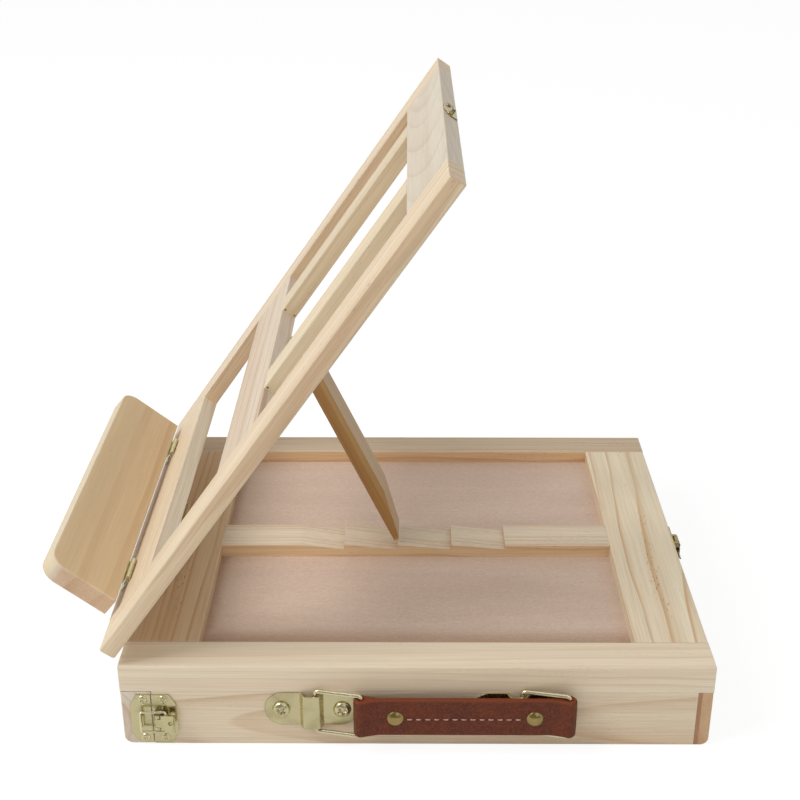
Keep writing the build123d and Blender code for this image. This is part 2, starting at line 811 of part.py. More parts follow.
def catch_base(plane, width, holes):
    """The fixed half: a screwed plate with two lugs that carry the lever's pin."""
    side_view = section_plane(plane)
    with BuildPart() as base:
        add(catch_plate(plane, -catch_base_length, -catch_seam_gap, width, -1))
        for start in (-lever_knuckle_width / 2 - knuckle_gap - lug_width, lever_knuckle_width / 2 + knuckle_gap):
            with BuildSketch(side_view.offset(start)):
                with Locations((-lever_pin_setback, lever_pin_height)):
                    Circle(lever_knuckle_radius)
                with Locations((-lever_pin_setback, lever_pin_height / 2)):
                    Rectangle(2 * lever_knuckle_radius, lever_pin_height)
            extrude(amount=lug_width)
        with BuildSketch(side_view.offset(-width / 2)):
            with Locations((-lever_pin_setback, lever_pin_height)):
                Circle(lever_pin_radius + hinge_pin_clearance)
        extrude(amount=width, mode=Mode.SUBTRACT)
        add(holes, mode=Mode.SUBTRACT)
    return base.part


def catch_pin(plane):
    length = lever_knuckle_width + 2 * knuckle_gap + 2 * lug_width
    with BuildPart() as pin:
        with BuildSketch(section_plane(plane).offset(-length / 2)):
            with Locations((-lever_pin_setback, lever_pin_height)):
                Circle(lever_pin_radius)
        extrude(amount=length)
    return pin.part


def catch_lever(plane):
    """The flap: a knuckle on the pin, a plate with a finger lip, and a tube that the loop turns in."""
    side_view = section_plane(plane)
    plate_low = lever_pin_height + lever_knuckle_radius - lever_thickness
    plate_top = plate_low + lever_thickness
    tail = -lever_pin_setback - lever_length
    lug_clear = -lever_pin_setback - lever_knuckle_radius - knuckle_gap
    with BuildPart() as lever:
        with BuildSketch(side_view.offset(-lever_knuckle_width / 2)):
            with Locations((-lever_pin_setback, lever_pin_height)):
                Circle(lever_knuckle_radius)
            with Locations(((lug_clear - lever_pin_setback) / 2, plate_low + lever_thickness / 2)):
                Rectangle(-lever_pin_setback - lug_clear, lever_thickness)
        extrude(amount=lever_knuckle_width)
        with BuildSketch(side_view.offset(-lever_width / 2)):
            with BuildLine():
                Polyline(
                    (lug_clear, plate_low),
                    (lug_clear, plate_top),
                    (tail + lever_tip_lift, plate_top),
                    (tail, plate_top + lever_tip_lift),
                    (tail, plate_low + lever_tip_lift),
                    (tail + lever_tip_lift, plate_low),
                    close=True,
                )
            make_face()
            with Locations((-loop_pin_setback, loop_pin_height)):
                Circle(loop_tube_radius)
        extrude(amount=lever_width)
        with BuildSketch(plane):
            with Locations((tail + 2 * lever_tip_lift, 0)):
                Circle(lever_hole_radius)
        extrude(amount=plate_top + 2 * lever_tip_lift, mode=Mode.SUBTRACT)
        with BuildSketch(side_view.offset(-lever_width)):
            with Locations((-lever_pin_setback, lever_pin_height)):
                Circle(lever_pin_radius + hinge_pin_clearance)
            with Locations((-loop_pin_setback, loop_pin_height)):
                Circle(loop_wire_radius + hinge_pin_clearance)
        extrude(amount=2 * lever_width, mode=Mode.SUBTRACT)
    return lever


def catch_loop(plane, reach, angle):
    """The wire loop, turned outward by the given angle from the line to its hook."""
    turn = radians(angle)
    direction = plane.x_dir * cos(turn) + plane.z_dir * sin(turn)
    normal = direction.cross(plane.y_dir)
    origin = plane.from_local_coords(Vector(-loop_pin_setback, 0, loop_pin_height))
    with BuildPart() as loop:
        add(
            wire_ring(
                Plane(origin=origin, x_dir=direction, z_dir=normal),
                reach,
                loop_half_width,
                loop_corner_radius,
                loop_wire_radius,
            )
        )
    return loop


def catch_hook(plane, start, length, hook_x, width, holes):
    """The strike: a screwed plate with a raised lip that points away from the catch."""
    with BuildPart() as hook:
        add(catch_plate(plane, start, start + length, width, 1))
        with BuildSketch(section_plane(plane).offset(-hook_width / 2)):
            with BuildLine():
                riser_end = hook_x + catch_plate_thickness
                lip_end = riser_end + hook_lip
                Polyline(
                    (hook_x, 0),
                    (hook_x, hook_height),
                    (lip_end, hook_height),
                    (lip_end, hook_height - catch_plate_thickness),
                    (riser_end, hook_height - catch_plate_thickness),
                    (riser_end, 0),
                    close=True,
                )
            make_face()
        extrude(amount=hook_width)
        add(holes, mode=Mode.SUBTRACT)
    return hook.part


loop_rest_rise = hook_height + loop_clearance + loop_wire_radius - loop_pin_height
loop_rest_angle = degrees(asin(loop_rest_rise / loop_reach))
catches = {
    "near": (near_catch, loop_reach, loop_rest_angle),
    "far": (far_catch, loop_reach, loop_rest_angle),
    "end": (end_catch, end_loop_reach, end_loop_angle),
}
for name, (plane, reach, angle) in catches.items():
    finish(catch_lever(plane), f"catch_lever_{name}")
    finish(catch_loop(plane, reach, angle), f"catch_loop_{name}")
finish(gather(catch_pin(plane) for plane, _, _ in catches.values()), "catch_pins")

drawer_catches = (near_catch, far_catch)
drawer_catch_bases = gather(
    catch_base(plane, catch_plate_width, catch_screws.part) for plane in drawer_catches
)
finish(drawer_catch_bases, "drawer_catch_bases")
finish(gather([catch_base(end_catch, end_catch_width, catch_screws.part)]), "end_catch_base")

drawer_hooks = gather(
    catch_hook(
        plane,
        catch_seam_gap,
        catch_hook_plate_length,
        hook_start,
        catch_plate_width,
        drawer_hook_screws.part,
    )
    for plane in drawer_catches
)
finish(drawer_hooks, "drawer_hooks")
end_hook = catch_hook(
    easel_end,
    end_hook_margin,
    easel_thickness - 2 * end_hook_margin,
    end_hook_x,
    end_catch_width,
    end_hook_screws.part,
)
finish(gather([end_hook]), "end_hook")


# ---- strap handle ---------------------------------------------------------------------------------------------
def handle_plate(plate_x):
    """A round-ended plate, bent up in the middle into a bridge over the ring's bar."""
    low = Plane(origin=(plate_x, -half_depth, handle_z - handle_plate_width / 2))
    inner_top = handle_plate_thickness + 2 * ring_wire_radius + 2 * ring_clearance
    outer_top = inner_top + handle_plate_thickness
    foot = bridge_width / 2
    wall = bridge_wall_share * handle_plate_thickness
    with BuildPart() as plate:
        with BuildSketch(near_face):
            with Locations((plate_x, handle_z)):
                SlotOverall(handle_plate_length, handle_plate_width)
                Rectangle(2 * (foot - handle_plate_thickness), handle_plate_width, mode=Mode.SUBTRACT)
        extrude(amount=handle_plate_thickness)
        with BuildSketch(low):
            with BuildLine():
                Polyline(
                    (-foot, 0),
                    (-foot, -handle_plate_thickness),
                    (-foot + bridge_slope, -outer_top),
                    (foot - bridge_slope, -outer_top),
                    (foot, -handle_plate_thickness),
                    (foot, 0),
                    (foot - wall, 0),
                    (foot - wall - bridge_slope * 0.8, -inner_top),
                    (-foot + wall + bridge_slope * 0.8, -inner_top),
                    (-foot + wall, 0),
                    close=True,
                )
            make_face()
        extrude(amount=handle_plate_width)
        bend_edges = plate.edges().filter_by(Axis.Z).group_by(Axis.Y)[0]
        fillet(bend_edges, radius=bridge_corner_radius)
        add(handle_screws.part, mode=Mode.SUBTRACT)
    return plate.part


swing = radians(ring_angle)
ring_pivot_y = -half_depth - handle_plate_thickness - ring_clearance - ring_wire_radius
ring_direction = Vector(cos(swing), -sin(swing), 0)
ring_pivots = [Vector(plate_x + ring_bar_offset, ring_pivot_y, handle_z) for plate_x in handle_plate_xs]
strap_ends = [pivot + ring_direction * ring_length for pivot in ring_pivots]
finish(gather(handle_plate(plate_x) for plate_x in handle_plate_xs), "handle_plates")
for side, pivot in zip(("left", "right"), ring_pivots):
    with BuildPart() as handle_ring:
        add(
            wire_ring(
                Plane(origin=pivot, x_dir=ring_direction, z_dir=ring_direction.cross(Vector(0, 0, 1))),
                ring_length,
                ring_half_height,
                ring_corner_radius,
                ring_wire_radius,
            )
        )
    finish(handle_ring, f"handle_ring_{side}")

strap_middle = (strap_ends[0] + strap_ends[1]) / 2
strap_face = Plane(
    origin=strap_middle + Vector(0, -strap_thickness / 2, 0), x_dir=(1, 0, 0), z_dir=(0, -1, 0)
)
with BuildPart() as handle_rivets:
    for rivet_x in (-rivet_spacing / 2, rivet_spacing / 2):
        base = seat(strap_face, rivet_x, 0)
        with BuildSketch(lathe_plane(base)):
            with BuildLine():
                dome = ThreePointArc(
                    (0, rivet_crown), (rivet_head_radius * 0.62, rivet_crown * 0.72), (rivet_head_radius, 0)
                )
                Polyline(
                    dome @ 1,
                    (rivet_shank_radius, 0),
                    (rivet_shank_radius, -strap_thickness),
                    (rivet_back_radius, -strap_thickness),
                    (rivet_back_radius, -strap_thickness - rivet_back_thickness),
                    (0, -strap_thickness - rivet_back_thickness),
                    (0, rivet_crown),
                )
            make_face()
        revolve(axis=Axis(base.origin, base.z_dir))
finish(handle_rivets, "handle_rivets")

with BuildPart() as handle_strap:
    with BuildSketch(Plane(origin=strap_middle - Vector(0, 0, strap_height / 2))):
        Rectangle(handle_spacing - 2 * strap_taper, strap_thickness)
        for sign in (-1, 1):
            end_x = sign * handle_spacing / 2
            with Locations((end_x, 0)):
                Circle(strap_eye_radius)
            with BuildLine():
                Polyline(
                    (end_x, strap_eye_radius),
                    (end_x - sign * strap_taper, strap_thickness / 2),
                    (end_x - sign * strap_taper, -strap_thickness / 2),
                    (end_x, -strap_eye_radius),
                    close=True,
                )
            make_face()
            with Locations((end_x, 0)):
                Circle(ring_wire_radius + strap_eye_clearance, mode=Mode.SUBTRACT)
    extrude(amount=strap_height)
    add(handle_rivets.part, mode=Mode.SUBTRACT)
finish(handle_strap, "handle_strap")
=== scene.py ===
"""Looks for the tabletop sketch-box easel: pine boards, plywood panels, brass fittings and a leather strap.

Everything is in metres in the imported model's frame. The box stands on z = 0 with its handle towards -Y.
"""
from math import cos, hypot, pi, radians, sin, sqrt

import bmesh
import bpy
import numpy as np
from mathutils import Euler, Matrix, Vector


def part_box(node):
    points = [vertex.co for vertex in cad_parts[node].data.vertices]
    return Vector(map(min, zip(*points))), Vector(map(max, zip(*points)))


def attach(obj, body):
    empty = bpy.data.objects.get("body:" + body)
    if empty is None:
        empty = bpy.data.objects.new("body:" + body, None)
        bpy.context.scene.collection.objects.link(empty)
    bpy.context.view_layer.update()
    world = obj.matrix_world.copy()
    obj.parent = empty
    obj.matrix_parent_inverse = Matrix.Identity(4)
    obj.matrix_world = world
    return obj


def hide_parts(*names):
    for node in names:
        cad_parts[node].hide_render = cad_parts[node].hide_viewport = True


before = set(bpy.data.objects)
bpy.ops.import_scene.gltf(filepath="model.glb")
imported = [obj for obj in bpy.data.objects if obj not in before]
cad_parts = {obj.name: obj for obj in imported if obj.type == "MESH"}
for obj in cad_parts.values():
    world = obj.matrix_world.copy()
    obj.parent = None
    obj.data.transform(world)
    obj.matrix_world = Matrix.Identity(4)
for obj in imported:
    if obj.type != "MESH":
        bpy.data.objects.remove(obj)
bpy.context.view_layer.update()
MM = 0.001


def mm(*values):
    return tuple(value * MM for value in values)


# ---- directions of the boards -----------------------------------------------------------------------------
AXIS_X, AXIS_Y, AXIS_Z = Vector((1, 0, 0)), Vector((0, 1, 0)), Vector((0, 0, 1))
# the easel frame's slope, along its stiles and out of its front face
TILT = radians(55.2)
ALONG = Vector((cos(TILT), 0, sin(TILT)))
OUTWARD = Vector((-sin(TILT), 0, cos(TILT)))
# the ledge stands a little past square to the easel frame
LEDGE_LIFT = radians(4.0)
LEDGE_OUTWARD = OUTWARD * cos(LEDGE_LIFT) + ALONG * sin(LEDGE_LIFT)
LEG_SLOPE = radians(65.0)
LEG_ALONG = Vector((cos(LEG_SLOPE), 0, -sin(LEG_SLOPE)))


# ---- node helpers -----------------------------------------------------------------------------------------
BEVEL_SAMPLES = 4
FACING_FADE = 0.17


def rgb(red, green, blue):
    return (red, green, blue, 1.0)


def toned(color, tone):
    return rgb(*(value * factor for value, factor in zip(color, tone)))


WHITE = rgb(1, 1, 1)


class Graph:
    """A short way to write shader nodes: each call adds one node and links its inputs."""

    def __init__(self, tree):
        self.tree = tree

    def node(self, kind, inputs=None, **settings):
        made = self.tree.nodes.new(kind)
        for name, value in settings.items():
            setattr(made, name, value)
        self.fill(made, inputs or {})
        return made

    def fill(self, node, inputs):
        for socket, value in inputs.items():
            self.feed(node.inputs[socket], value)

    def feed(self, socket, value):
        if isinstance(value, bpy.types.NodeSocket):
            self.tree.links.new(value, socket)
        else:
            socket.default_value = value

    def math(self, operation, first, second=0.0, third=0.0, clamp=False):
        inputs = {0: first, 1: second, 2: third}
        return self.node("ShaderNodeMath", inputs, operation=operation, use_clamp=clamp).outputs[0]

    def vector(self, operation, first, second=(0, 0, 0)):
        made = self.node("ShaderNodeVectorMath", {0: first, 1: second}, operation=operation)
        return made.outputs["Value" if operation in ("DOT_PRODUCT", "LENGTH") else "Vector"]

    def split(self, vector):
        return self.node("ShaderNodeSeparateXYZ", {0: vector}).outputs

    def coordinate(self, kind):
        return self.node("ShaderNodeTexCoord").outputs[kind]

    def noise(self, vector, scale, detail=2.0, roughness=0.5, distortion=0.0):
        shape = {"Scale": scale, "Detail": detail, "Roughness": roughness, "Distortion": distortion}
        return self.node("ShaderNodeTexNoise", {"Vector": vector, **shape}).outputs["Fac"]

    def streaks(self, vector, frequency, detail=2.0, roughness=0.5, distortion=0.0):
        """Noise drawn out one way: frequency is how often it changes per metre along each axis."""
        return self.noise(self.vector("MULTIPLY", vector, frequency), 1.0, detail, roughness, distortion)

    def smooth(self, value, low, high, out_low=0.0, out_high=1.0):
        inputs = {"Value": value, "From Min": low, "From Max": high, "To Min": out_low, "To Max": out_high}
        return self.node("ShaderNodeMapRange", inputs, interpolation_type="SMOOTHSTEP").outputs["Result"]

    def mix(self, factor, first, second, blend="MIX"):
        made = self.node("ShaderNodeMix", data_type="RGBA", blend_type=blend)
        for name, value in (("Factor", factor), (6, first), (7, second)):
            self.feed(made.inputs[name], value)
        return made.outputs[2]

    def shaded(self, color, value):
        """The colour times a grey of this value."""
        grey = self.node("ShaderNodeCombineColor", {0: value, 1: value, 2: value}).outputs[0]
        return self.mix(1.0, color, grey, "MULTIPLY")

    def tinted(self, color, mask, tone):
        """The colour, times a tone where the mask is 1."""
        return self.mix(1.0, color, self.mix(mask, WHITE, rgb(*tone)), "MULTIPLY")

    def facing(self, direction, start=0.80):
        """Mask of the faces that look along a direction, or against it, more squarely than start."""
        look = self.math("ABSOLUTE", self.vector("DOT_PRODUCT", self.coordinate("Normal"), direction))
        return self.smooth(look, start, start + FACING_FADE)

    def bump(self, height, strength, distance, **more):
        inputs = {"Height": height, "Strength": strength, "Distance": distance, **more}
        return self.node("ShaderNodeBump", inputs).outputs[0]

    def worn_bump(self, height, strength, distance, rounding):
        """The normal of a rough surface with a small hand-worn rounding along its edges."""
        worn = self.node("ShaderNodeBevel", {"Radius": rounding}, samples=BEVEL_SAMPLES).outputs[0]
        return self.bump(height, strength, distance, Normal=worn)


def new_group(name, inputs, outputs):
    """A shader node group with named sockets; gives its graph, its input sockets and its output node."""
    group = bpy.data.node_groups.new(name, "ShaderNodeTree")
    for direction, sockets in (("INPUT", inputs), ("OUTPUT", outputs)):
        for socket_name, kind in sockets.items():
            group.interface.new_socket(name=socket_name, in_out=direction, socket_type="NodeSocket" + kind)
    source = group.nodes.new("NodeGroupInput").outputs
    return group, Graph(group), source, group.nodes.new("NodeGroupOutput")


def new_material(name):
    """A material with a Principled surface; gives it with its graph, its surface node and its output node."""
    material = bpy.data.materials.new(name)
    material.use_nodes = True
    material.node_tree.nodes.clear()
    graph = Graph(material.node_tree)
    surface = graph.node("ShaderNodeBsdfPrincipled")
    output = graph.node("ShaderNodeOutputMaterial", {"Surface": surface.outputs[0]})
    output.is_active_output = True
    return material, graph, surface, output


def dress(node, material):
    """Assigns a finish to every material slot of a CAD node."""
    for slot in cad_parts[node].material_slots:
        slot.material = material


# ---- pine grain -------------------------------------------------------------------------------------------
# how often each part of the figure changes per metre: along the board, across it, and through it
RING_DRIFT = (5.0, 14.0, 14.0)
FIBRES = (22.0, 1500.0, 1500.0)
BROAD_BANDS = (3.5, 95.0, 95.0)
FADING = (9.0, 30.0, 30.0)
HEART_STREAKS = (2.6, 26.0, 26.0)
RESIN_DASHES = (150.0, 1000.0, 1000.0)
RESIN_ZONES = (14.0, 80.0, 80.0)
END_PORES = (300.0, 2600.0, 2600.0)
EDGE_WEAR = (40.0, 90.0, 90.0)
# how often the rings' width changes, per ring, and by how many rings it shifts them
UNEVEN_PACE, UNEVEN_SHIFT = 0.55, 3.0

EARLY_WOOD = (0.84, 0.72, 0.535)
LATE_WOOD = (0.62, 0.42, 0.25)
HEART_STREAK_TONE = rgb(0.60, 0.37, 0.22)
RED_HEART = rgb(0.46, 0.25, 0.15)
RESIN_TONE = rgb(0.25, 0.14, 0.07)
END_PALE, END_DEEP = rgb(1.0, 0.93, 0.86), rgb(0.84, 0.72, 0.62)
WORN_EDGE = rgb(0.86, 0.76, 0.60)


def make_pine_group():
    """Growth rings round a pith line, with fibres, short resin flecks and reddish heart streaks.

    Vector is in metres with X along the board. Pith is a point of the pith line, Lean tilts that line, and
    Wave is how far it wanders sideways.
    """
    group, g, source, result = new_group(
        "pine_grain",
        {
            "Vector": "Vector",
            "Pith": "Vector",
            "Lean": "Float",
            "Wave": "Float",
            "Ring Width": "Float",
            "Contrast": "Float",
            "Early Wood": "Color",
            "Late Wood": "Color",
            "Heart": "Float",
            "Resin": "Float",
            "Fibre": "Float",
            "End Grain": "Float",
        },
        {"Color": "Color", "Height": "Float", "Roughness": "Float"},
    )
    place = source["Vector"]

    # rings of uneven width, each a soft rise to a thin dark line of late wood that ends sharply
    wander = g.math("MULTIPLY", g.math("SUBTRACT", g.streaks(place, RING_DRIFT), 0.5), source["Wave"])
    parts = g.split(g.vector("SUBTRACT", place, source["Pith"]))
    across = g.math("ADD", parts["Y"], wander)
    depth = g.math("ADD", parts["Z"], g.math("MULTIPLY", parts["X"], source["Lean"]))
    square = g.math("ADD", g.math("MULTIPLY", across, across), g.math("MULTIPLY", depth, depth))
    rings = g.math("DIVIDE", g.math("SQRT", square), source["Ring Width"])
    uneven = g.noise(g.node("ShaderNodeCombineXYZ", {"X": rings}).outputs[0], UNEVEN_PACE, 1.0)
    phase = g.math("FRACT", g.math("ADD", rings, g.math("MULTIPLY", uneven, UNEVEN_SHIFT)))
    rise = g.math("MULTIPLY", g.smooth(phase, 0.25, 0.90), 0.30)
    line = g.math("MULTIPLY", g.smooth(phase, 0.62, 0.92), 0.70)
    late = g.math("MULTIPLY", g.math("ADD", rise, line), g.smooth(phase, 0.93, 1.0, 1.0, 0.0))

    # late wood fades in and out along its length
    fading = g.smooth(g.streaks(place, FADING), 0.30, 0.72, 0.45, 1.0)
    strength = g.math("MULTIPLY", source["Contrast"], fading)
    ring_mask = g.math("MULTIPLY", late, strength, clamp=True)
    color = g.mix(ring_mask, source["Early Wood"], source["Late Wood"])
    broad = g.smooth(g.streaks(place, BROAD_BANDS), 0.35, 0.75, 0.0, 0.22)
    color = g.mix(broad, color, source["Late Wood"])
    heart = g.smooth(g.streaks(place, HEART_STREAKS, 1.0), 0.50, 0.74)
    color = g.mix(g.math("MULTIPLY", heart, source["Heart"], clamp=True), color, HEART_STREAK_TONE)

    fibre = g.streaks(place, FIBRES, 3.0, 0.6)
    swing = g.math("MULTIPLY", g.smooth(fibre, 0.25, 0.78, -0.12, 0.08), source["Fibre"])
    color = g.shaded(color, g.math("ADD", 1.0, swing))

    # resin shows as rows of short dark dashes
    cells = {"Vector": g.vector("MULTIPLY", place, RESIN_DASHES), "Scale": 1.0}
    dash = g.smooth(g.node("ShaderNodeTexVoronoi", cells).outputs["Distance"], 0.14, 0.27, 1.0, 0.0)
    zone = g.smooth(g.streaks(place, RESIN_ZONES), 0.50, 0.66)
    dash_mask = g.math("MULTIPLY", dash, g.math("MULTIPLY", zone, source["Resin"]))
    color = g.mix(g.math("MULTIPLY", dash_mask, 0.75), color, RESIN_TONE)

    # end grain is a little redder, with small open pores
    pores = g.smooth(g.streaks(place, END_PORES), 0.42, 0.66)
    ended = g.mix(1.0, color, g.mix(pores, END_PALE, END_DEEP), "MULTIPLY")
    color = g.mix(source["End Grain"], color, ended)

    height = g.math("ADD", g.math("MULTIPLY", fibre, 0.5), g.math("MULTIPLY", ring_mask, 0.5))
    height = g.math("SUBTRACT", height, g.math("MULTIPLY", dash_mask, 0.9))
    roughness = g.smooth(fibre, 0.2, 0.8, 0.50, 0.64)
    g.fill(result, {"Color": color, "Height": height, "Roughness": roughness})
    return group


def make_edge_group():
    """Mask that is 1 along the edges of a board: Vector is from its middle, Half is its half size."""
    group, g, source, result = new_group(
        "board_edges", {"Vector": "Vector", "Half": "Vector", "Reach": "Float"}, {"Mask": "Float"}
    )
    inside = g.split(g.vector("SUBTRACT", source["Half"], g.vector("ABSOLUTE", source["Vector"])))
    uneven = g.smooth(g.streaks(source["Vector"], EDGE_WEAR), 0.3, 0.7, 0.5, 1.4)
    reach = g.math("MULTIPLY", source["Reach"], uneven)
    near = [g.math("SUBTRACT", 1.0, g.math("DIVIDE", inside[axis], reach, clamp=True)) for axis in "XYZ"]
    pairs = [g.math("MULTIPLY", near[a], near[b]) for a, b in ((0, 1), (0, 2), (1, 2))]
    mask = g.math("MAXIMUM", g.math("MAXIMUM", pairs[0], pairs[1]), pairs[2])
    g.fill(result, {"Mask": mask})
    return group


PINE = make_pine_group()
EDGES = make_edge_group()


# ---- pine boards ------------------------------------------------------------------------------------------
EDGE_REACH = 0.0011
EDGE_WEAR_SHARE = 0.35
RED_HEART_FADE = 0.0004
RED_HEART_SHARE = 0.75
PINE_SPECULAR = 0.35
PINE_RELIEF = {"strength": 0.35, "distance": 0.00012, "rounding": 0.0007}


def half_size(node, *directions):
    """Half of how far a CAD node reaches along each direction."""
    points = np.array([vert.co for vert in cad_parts[node].data.vertices])
    return tuple(float(np.ptp(points @ np.array(direction))) / 2 for direction in directions)


def place_in_board(g, node, length, width):
    """Coordinates from the middle of a CAD node's box, with X along its grain and Y across its width."""
    low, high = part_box(node)
    turn = Matrix((length, width, length.cross(width)))
    mapping = g.node("ShaderNodeMapping", {"Vector": g.coordinate("Object")}, vector_type="POINT")
    mapping.inputs["Rotation"].default_value = turn.to_euler("XYZ")
    mapping.inputs["Location"].default_value = -(turn @ ((low + high) / 2))
    return mapping.outputs[0]


def pine(
    node,
    length,
    width,
    pith,
    ring=4.2,
    lean=0.0,
    wave=10,
    contrast=0.7,
    heart=0.25,
    resin=0.5,
    fibre=1.0,
    late=LATE_WOOD,
    tone=(1, 1, 1),
    side_shading_tone=None,
    side_from=0.80,
    end_tone=None,
    red_end=None,
):
    """Gives one CAD board its own pine, cut from another place in the log than its neighbours.

    length and width are its directions, pith is in board axes, and pith, ring and wave are in millimetres.
    The side tone tints the two sides across its width, as painted light and shade for how the light falls on
    them together with some of their own tone, and end_tone tints its two ends. side_from is how squarely a
    face must look sideways before it takes the side tone.
    red_end is the range of depth, from the board's middle, in which its end grain shows reddish heartwood.
    """
    material, g, surface, _ = new_material("pine_" + node)
    place = place_in_board(g, node, length, width)
    ends = g.facing(length)
    figure = {
        "Vector": place,
        "Pith": mm(*pith),
        "Lean": lean,
        "Wave": wave * MM,
        "Ring Width": ring * MM,
        "Contrast": contrast,
        "Early Wood": toned(EARLY_WOOD, tone),
        "Late Wood": toned(late, tone),
        "Heart": heart,
        "Resin": resin,
        "Fibre": fibre,
        "End Grain": ends,
    }
    grain = g.node("ShaderNodeGroup", figure, node_tree=PINE).outputs
    half = half_size(node, length, width, length.cross(width))
    edges = g.node("ShaderNodeGroup", {"Vector": place, "Half": half, "Reach": EDGE_REACH}, node_tree=EDGES)
    worn = g.math("MULTIPLY", edges.outputs["Mask"], EDGE_WEAR_SHARE)
    color = g.mix(worn, grain["Color"], WORN_EDGE)
    if red_end:
        depth = g.split(place)["Z"]
        low, high = mm(*red_end)
        above = g.smooth(depth, low - RED_HEART_FADE, low + RED_HEART_FADE)
        below = g.smooth(depth, high - RED_HEART_FADE, high + RED_HEART_FADE, 1.0, 0.0)
        band = g.math("MULTIPLY", g.math("MULTIPLY", above, below), ends)
        color = g.mix(g.math("MULTIPLY", band, RED_HEART_SHARE), color, RED_HEART)
    # painted light and shade on the sides across the board's width, with some of the wood's own tone
    if side_shading_tone:
        color = g.tinted(color, g.facing(width, side_from), side_shading_tone)
    if end_tone:
        color = g.tinted(color, ends, end_tone)
    g.fill(
        surface,
        {
            "Base Color": color,
            "Roughness": grain["Roughness"],
            "Specular IOR Level": PINE_SPECULAR,
            "Normal": g.worn_bump(grain["Height"], **PINE_RELIEF),
        },
    )
    dress(node, material)


# the side tones are painted light and shade for how the light falls on each board's sides, with some of the
# wood's own tone
# node, direction of its length and of its width, pith from its middle in board axes, then what sets it apart
BOARDS = (
    ("side_wall_near", AXIS_X, AXIS_Z, (0, -3, 60),
     dict(ring=6.2, lean=0.035, heart=0.35, resin=0.25, tone=(0.97, 0.95, 0.93))),
    ("side_wall_far", AXIS_X, AXIS_Z, (40, 9, -55), dict(ring=5.5, lean=-0.03)),
    ("end_wall", AXIS_Y, AXIS_Z, (0, 6, 45),
     dict(ring=4.6, lean=0.04, heart=0.8, end_tone=(0.81, 0.70, 0.60), red_end=(-4.8, -2.0))),
    ("top_rail_near", AXIS_X, AXIS_Y, (60, 38, -50),
     dict(ring=7.2, lean=0.02, contrast=0.34, resin=0.2, fibre=0.6, tone=(1.03, 1.03, 1.04))),
    ("top_rail_far", AXIS_X, AXIS_Y, (0, 60, -22),
     dict(ring=4.6, lean=0.01, tone=(0.78, 0.72, 0.68), side_shading_tone=(1.22, 1.08, 0.90))),
    # the hinge rail's tone is darker and browner partly for its own wood and partly as painted shade from the
    # easel above it
    ("top_end_rail_hinge", AXIS_Y, AXIS_X, (0, 70, -30),
     dict(ring=7.8, lean=0.015, contrast=0.9, resin=1.0, tone=(0.84, 0.72, 0.59))),
    ("top_end_rail_catch", AXIS_Y, AXIS_X, (90, 45, 40),
     dict(ring=8.4, lean=-0.02, wave=24, contrast=0.9, heart=0.15, resin=1.0, late=(0.60, 0.36, 0.17),
          tone=(1.03, 1.05, 1.04))),
    ("ratchet_rail", AXIS_X, AXIS_Y, (0, 45, -30),
     dict(ring=5.0, lean=0.012, tone=(0.92, 0.91, 0.92), side_shading_tone=(1.07, 0.94, 0.76))),
    ("drawer_front", AXIS_Y, AXIS_Z, (20, -4, -38),
     dict(ring=5.5, lean=0.03, heart=0.4, end_tone=(0.97, 1.09, 1.32))),
    ("drawer_side_near", AXIS_X, AXIS_Z, (0, 8, 40), dict(lean=0.03)),
    ("drawer_side_far", AXIS_X, AXIS_Z, (0, -12, 36), dict(lean=-0.03)),
    ("drawer_back", AXIS_Y, AXIS_Z, (0, 5, 50), dict(lean=0.02)),
    ("drawer_long_dividers", AXIS_X, AXIS_Z, (0, 14, 80), dict(ring=6.0, lean=0.02)),
    ("drawer_cross_dividers", AXIS_Y, AXIS_Z, (0, 14, 80), dict(ring=6.0, lean=0.02)),
    ("easel_stile_near", ALONG, AXIS_Y, (0, 46, 24),
     dict(ring=8.8, lean=0.010, contrast=0.5, heart=0.35, tone=(0.97, 0.94, 0.91),
          side_shading_tone=(0.98, 0.94, 0.88), end_tone=(0.98, 1.03, 1.10))),
    ("easel_stile_far", ALONG, AXIS_Y, (0, -40, 30),
     dict(ring=5.6, lean=-0.02, tone=(0.97, 0.95, 0.94), side_shading_tone=(0.98, 0.90, 0.80),
          end_tone=(0.98, 1.03, 1.10))),
    ("easel_bottom_rail", AXIS_Y, ALONG, (0, 60, 42),
     dict(ring=7.0, lean=0.02, contrast=0.55, heart=0.35, tone=(0.97, 0.95, 0.93))),
    ("easel_crossbar", AXIS_Y, ALONG, (30, 52, -36),
     dict(ring=8.0, lean=0.02, contrast=0.75, tone=(0.87, 0.85, 0.89))),
    ("easel_top_rail", AXIS_Y, ALONG, (0, 2, 30),
     dict(ring=5.2, lean=0.12, contrast=0.36, heart=0.1, tone=(0.81, 0.84, 0.91))),
    ("easel_slat_near", ALONG, AXIS_Y, (0, 30, 30),
     dict(ring=7.5, lean=0.02, contrast=0.4, tone=(0.96, 0.95, 0.90), side_shading_tone=(1.05, 1.04, 1.00))),
    ("easel_slat_far", ALONG, AXIS_Y, (0, -34, 26),
     dict(ring=7.0, lean=0.02, contrast=0.4, tone=(0.90, 0.89, 0.86), side_shading_tone=(1.06, 1.04, 0.96))),
    # the leg's tone and side tone are darker partly for its own wood and partly as painted shade under the
    # easel
    ("support_leg", LEG_ALONG, AXIS_Y, (0, -40, 22),
     dict(ring=6.0, lean=0.02, heart=0.45, tone=(0.69, 0.58, 0.48), side_shading_tone=(0.73, 0.56, 0.30))),
    ("ledge", AXIS_Y, LEDGE_OUTWARD, (0, -69, -20),
     dict(ring=26.0, contrast=0.50, heart=0.1, resin=0.2, fibre=0.5, tone=(0.88, 0.78, 0.63),
          side_shading_tone=(0.99, 1.10, 1.28), side_from=0.06, end_tone=(0.99, 1.03, 1.25))),
)
for node, length, width, pith, look in BOARDS:
    pine(node, length, width, pith, **look)


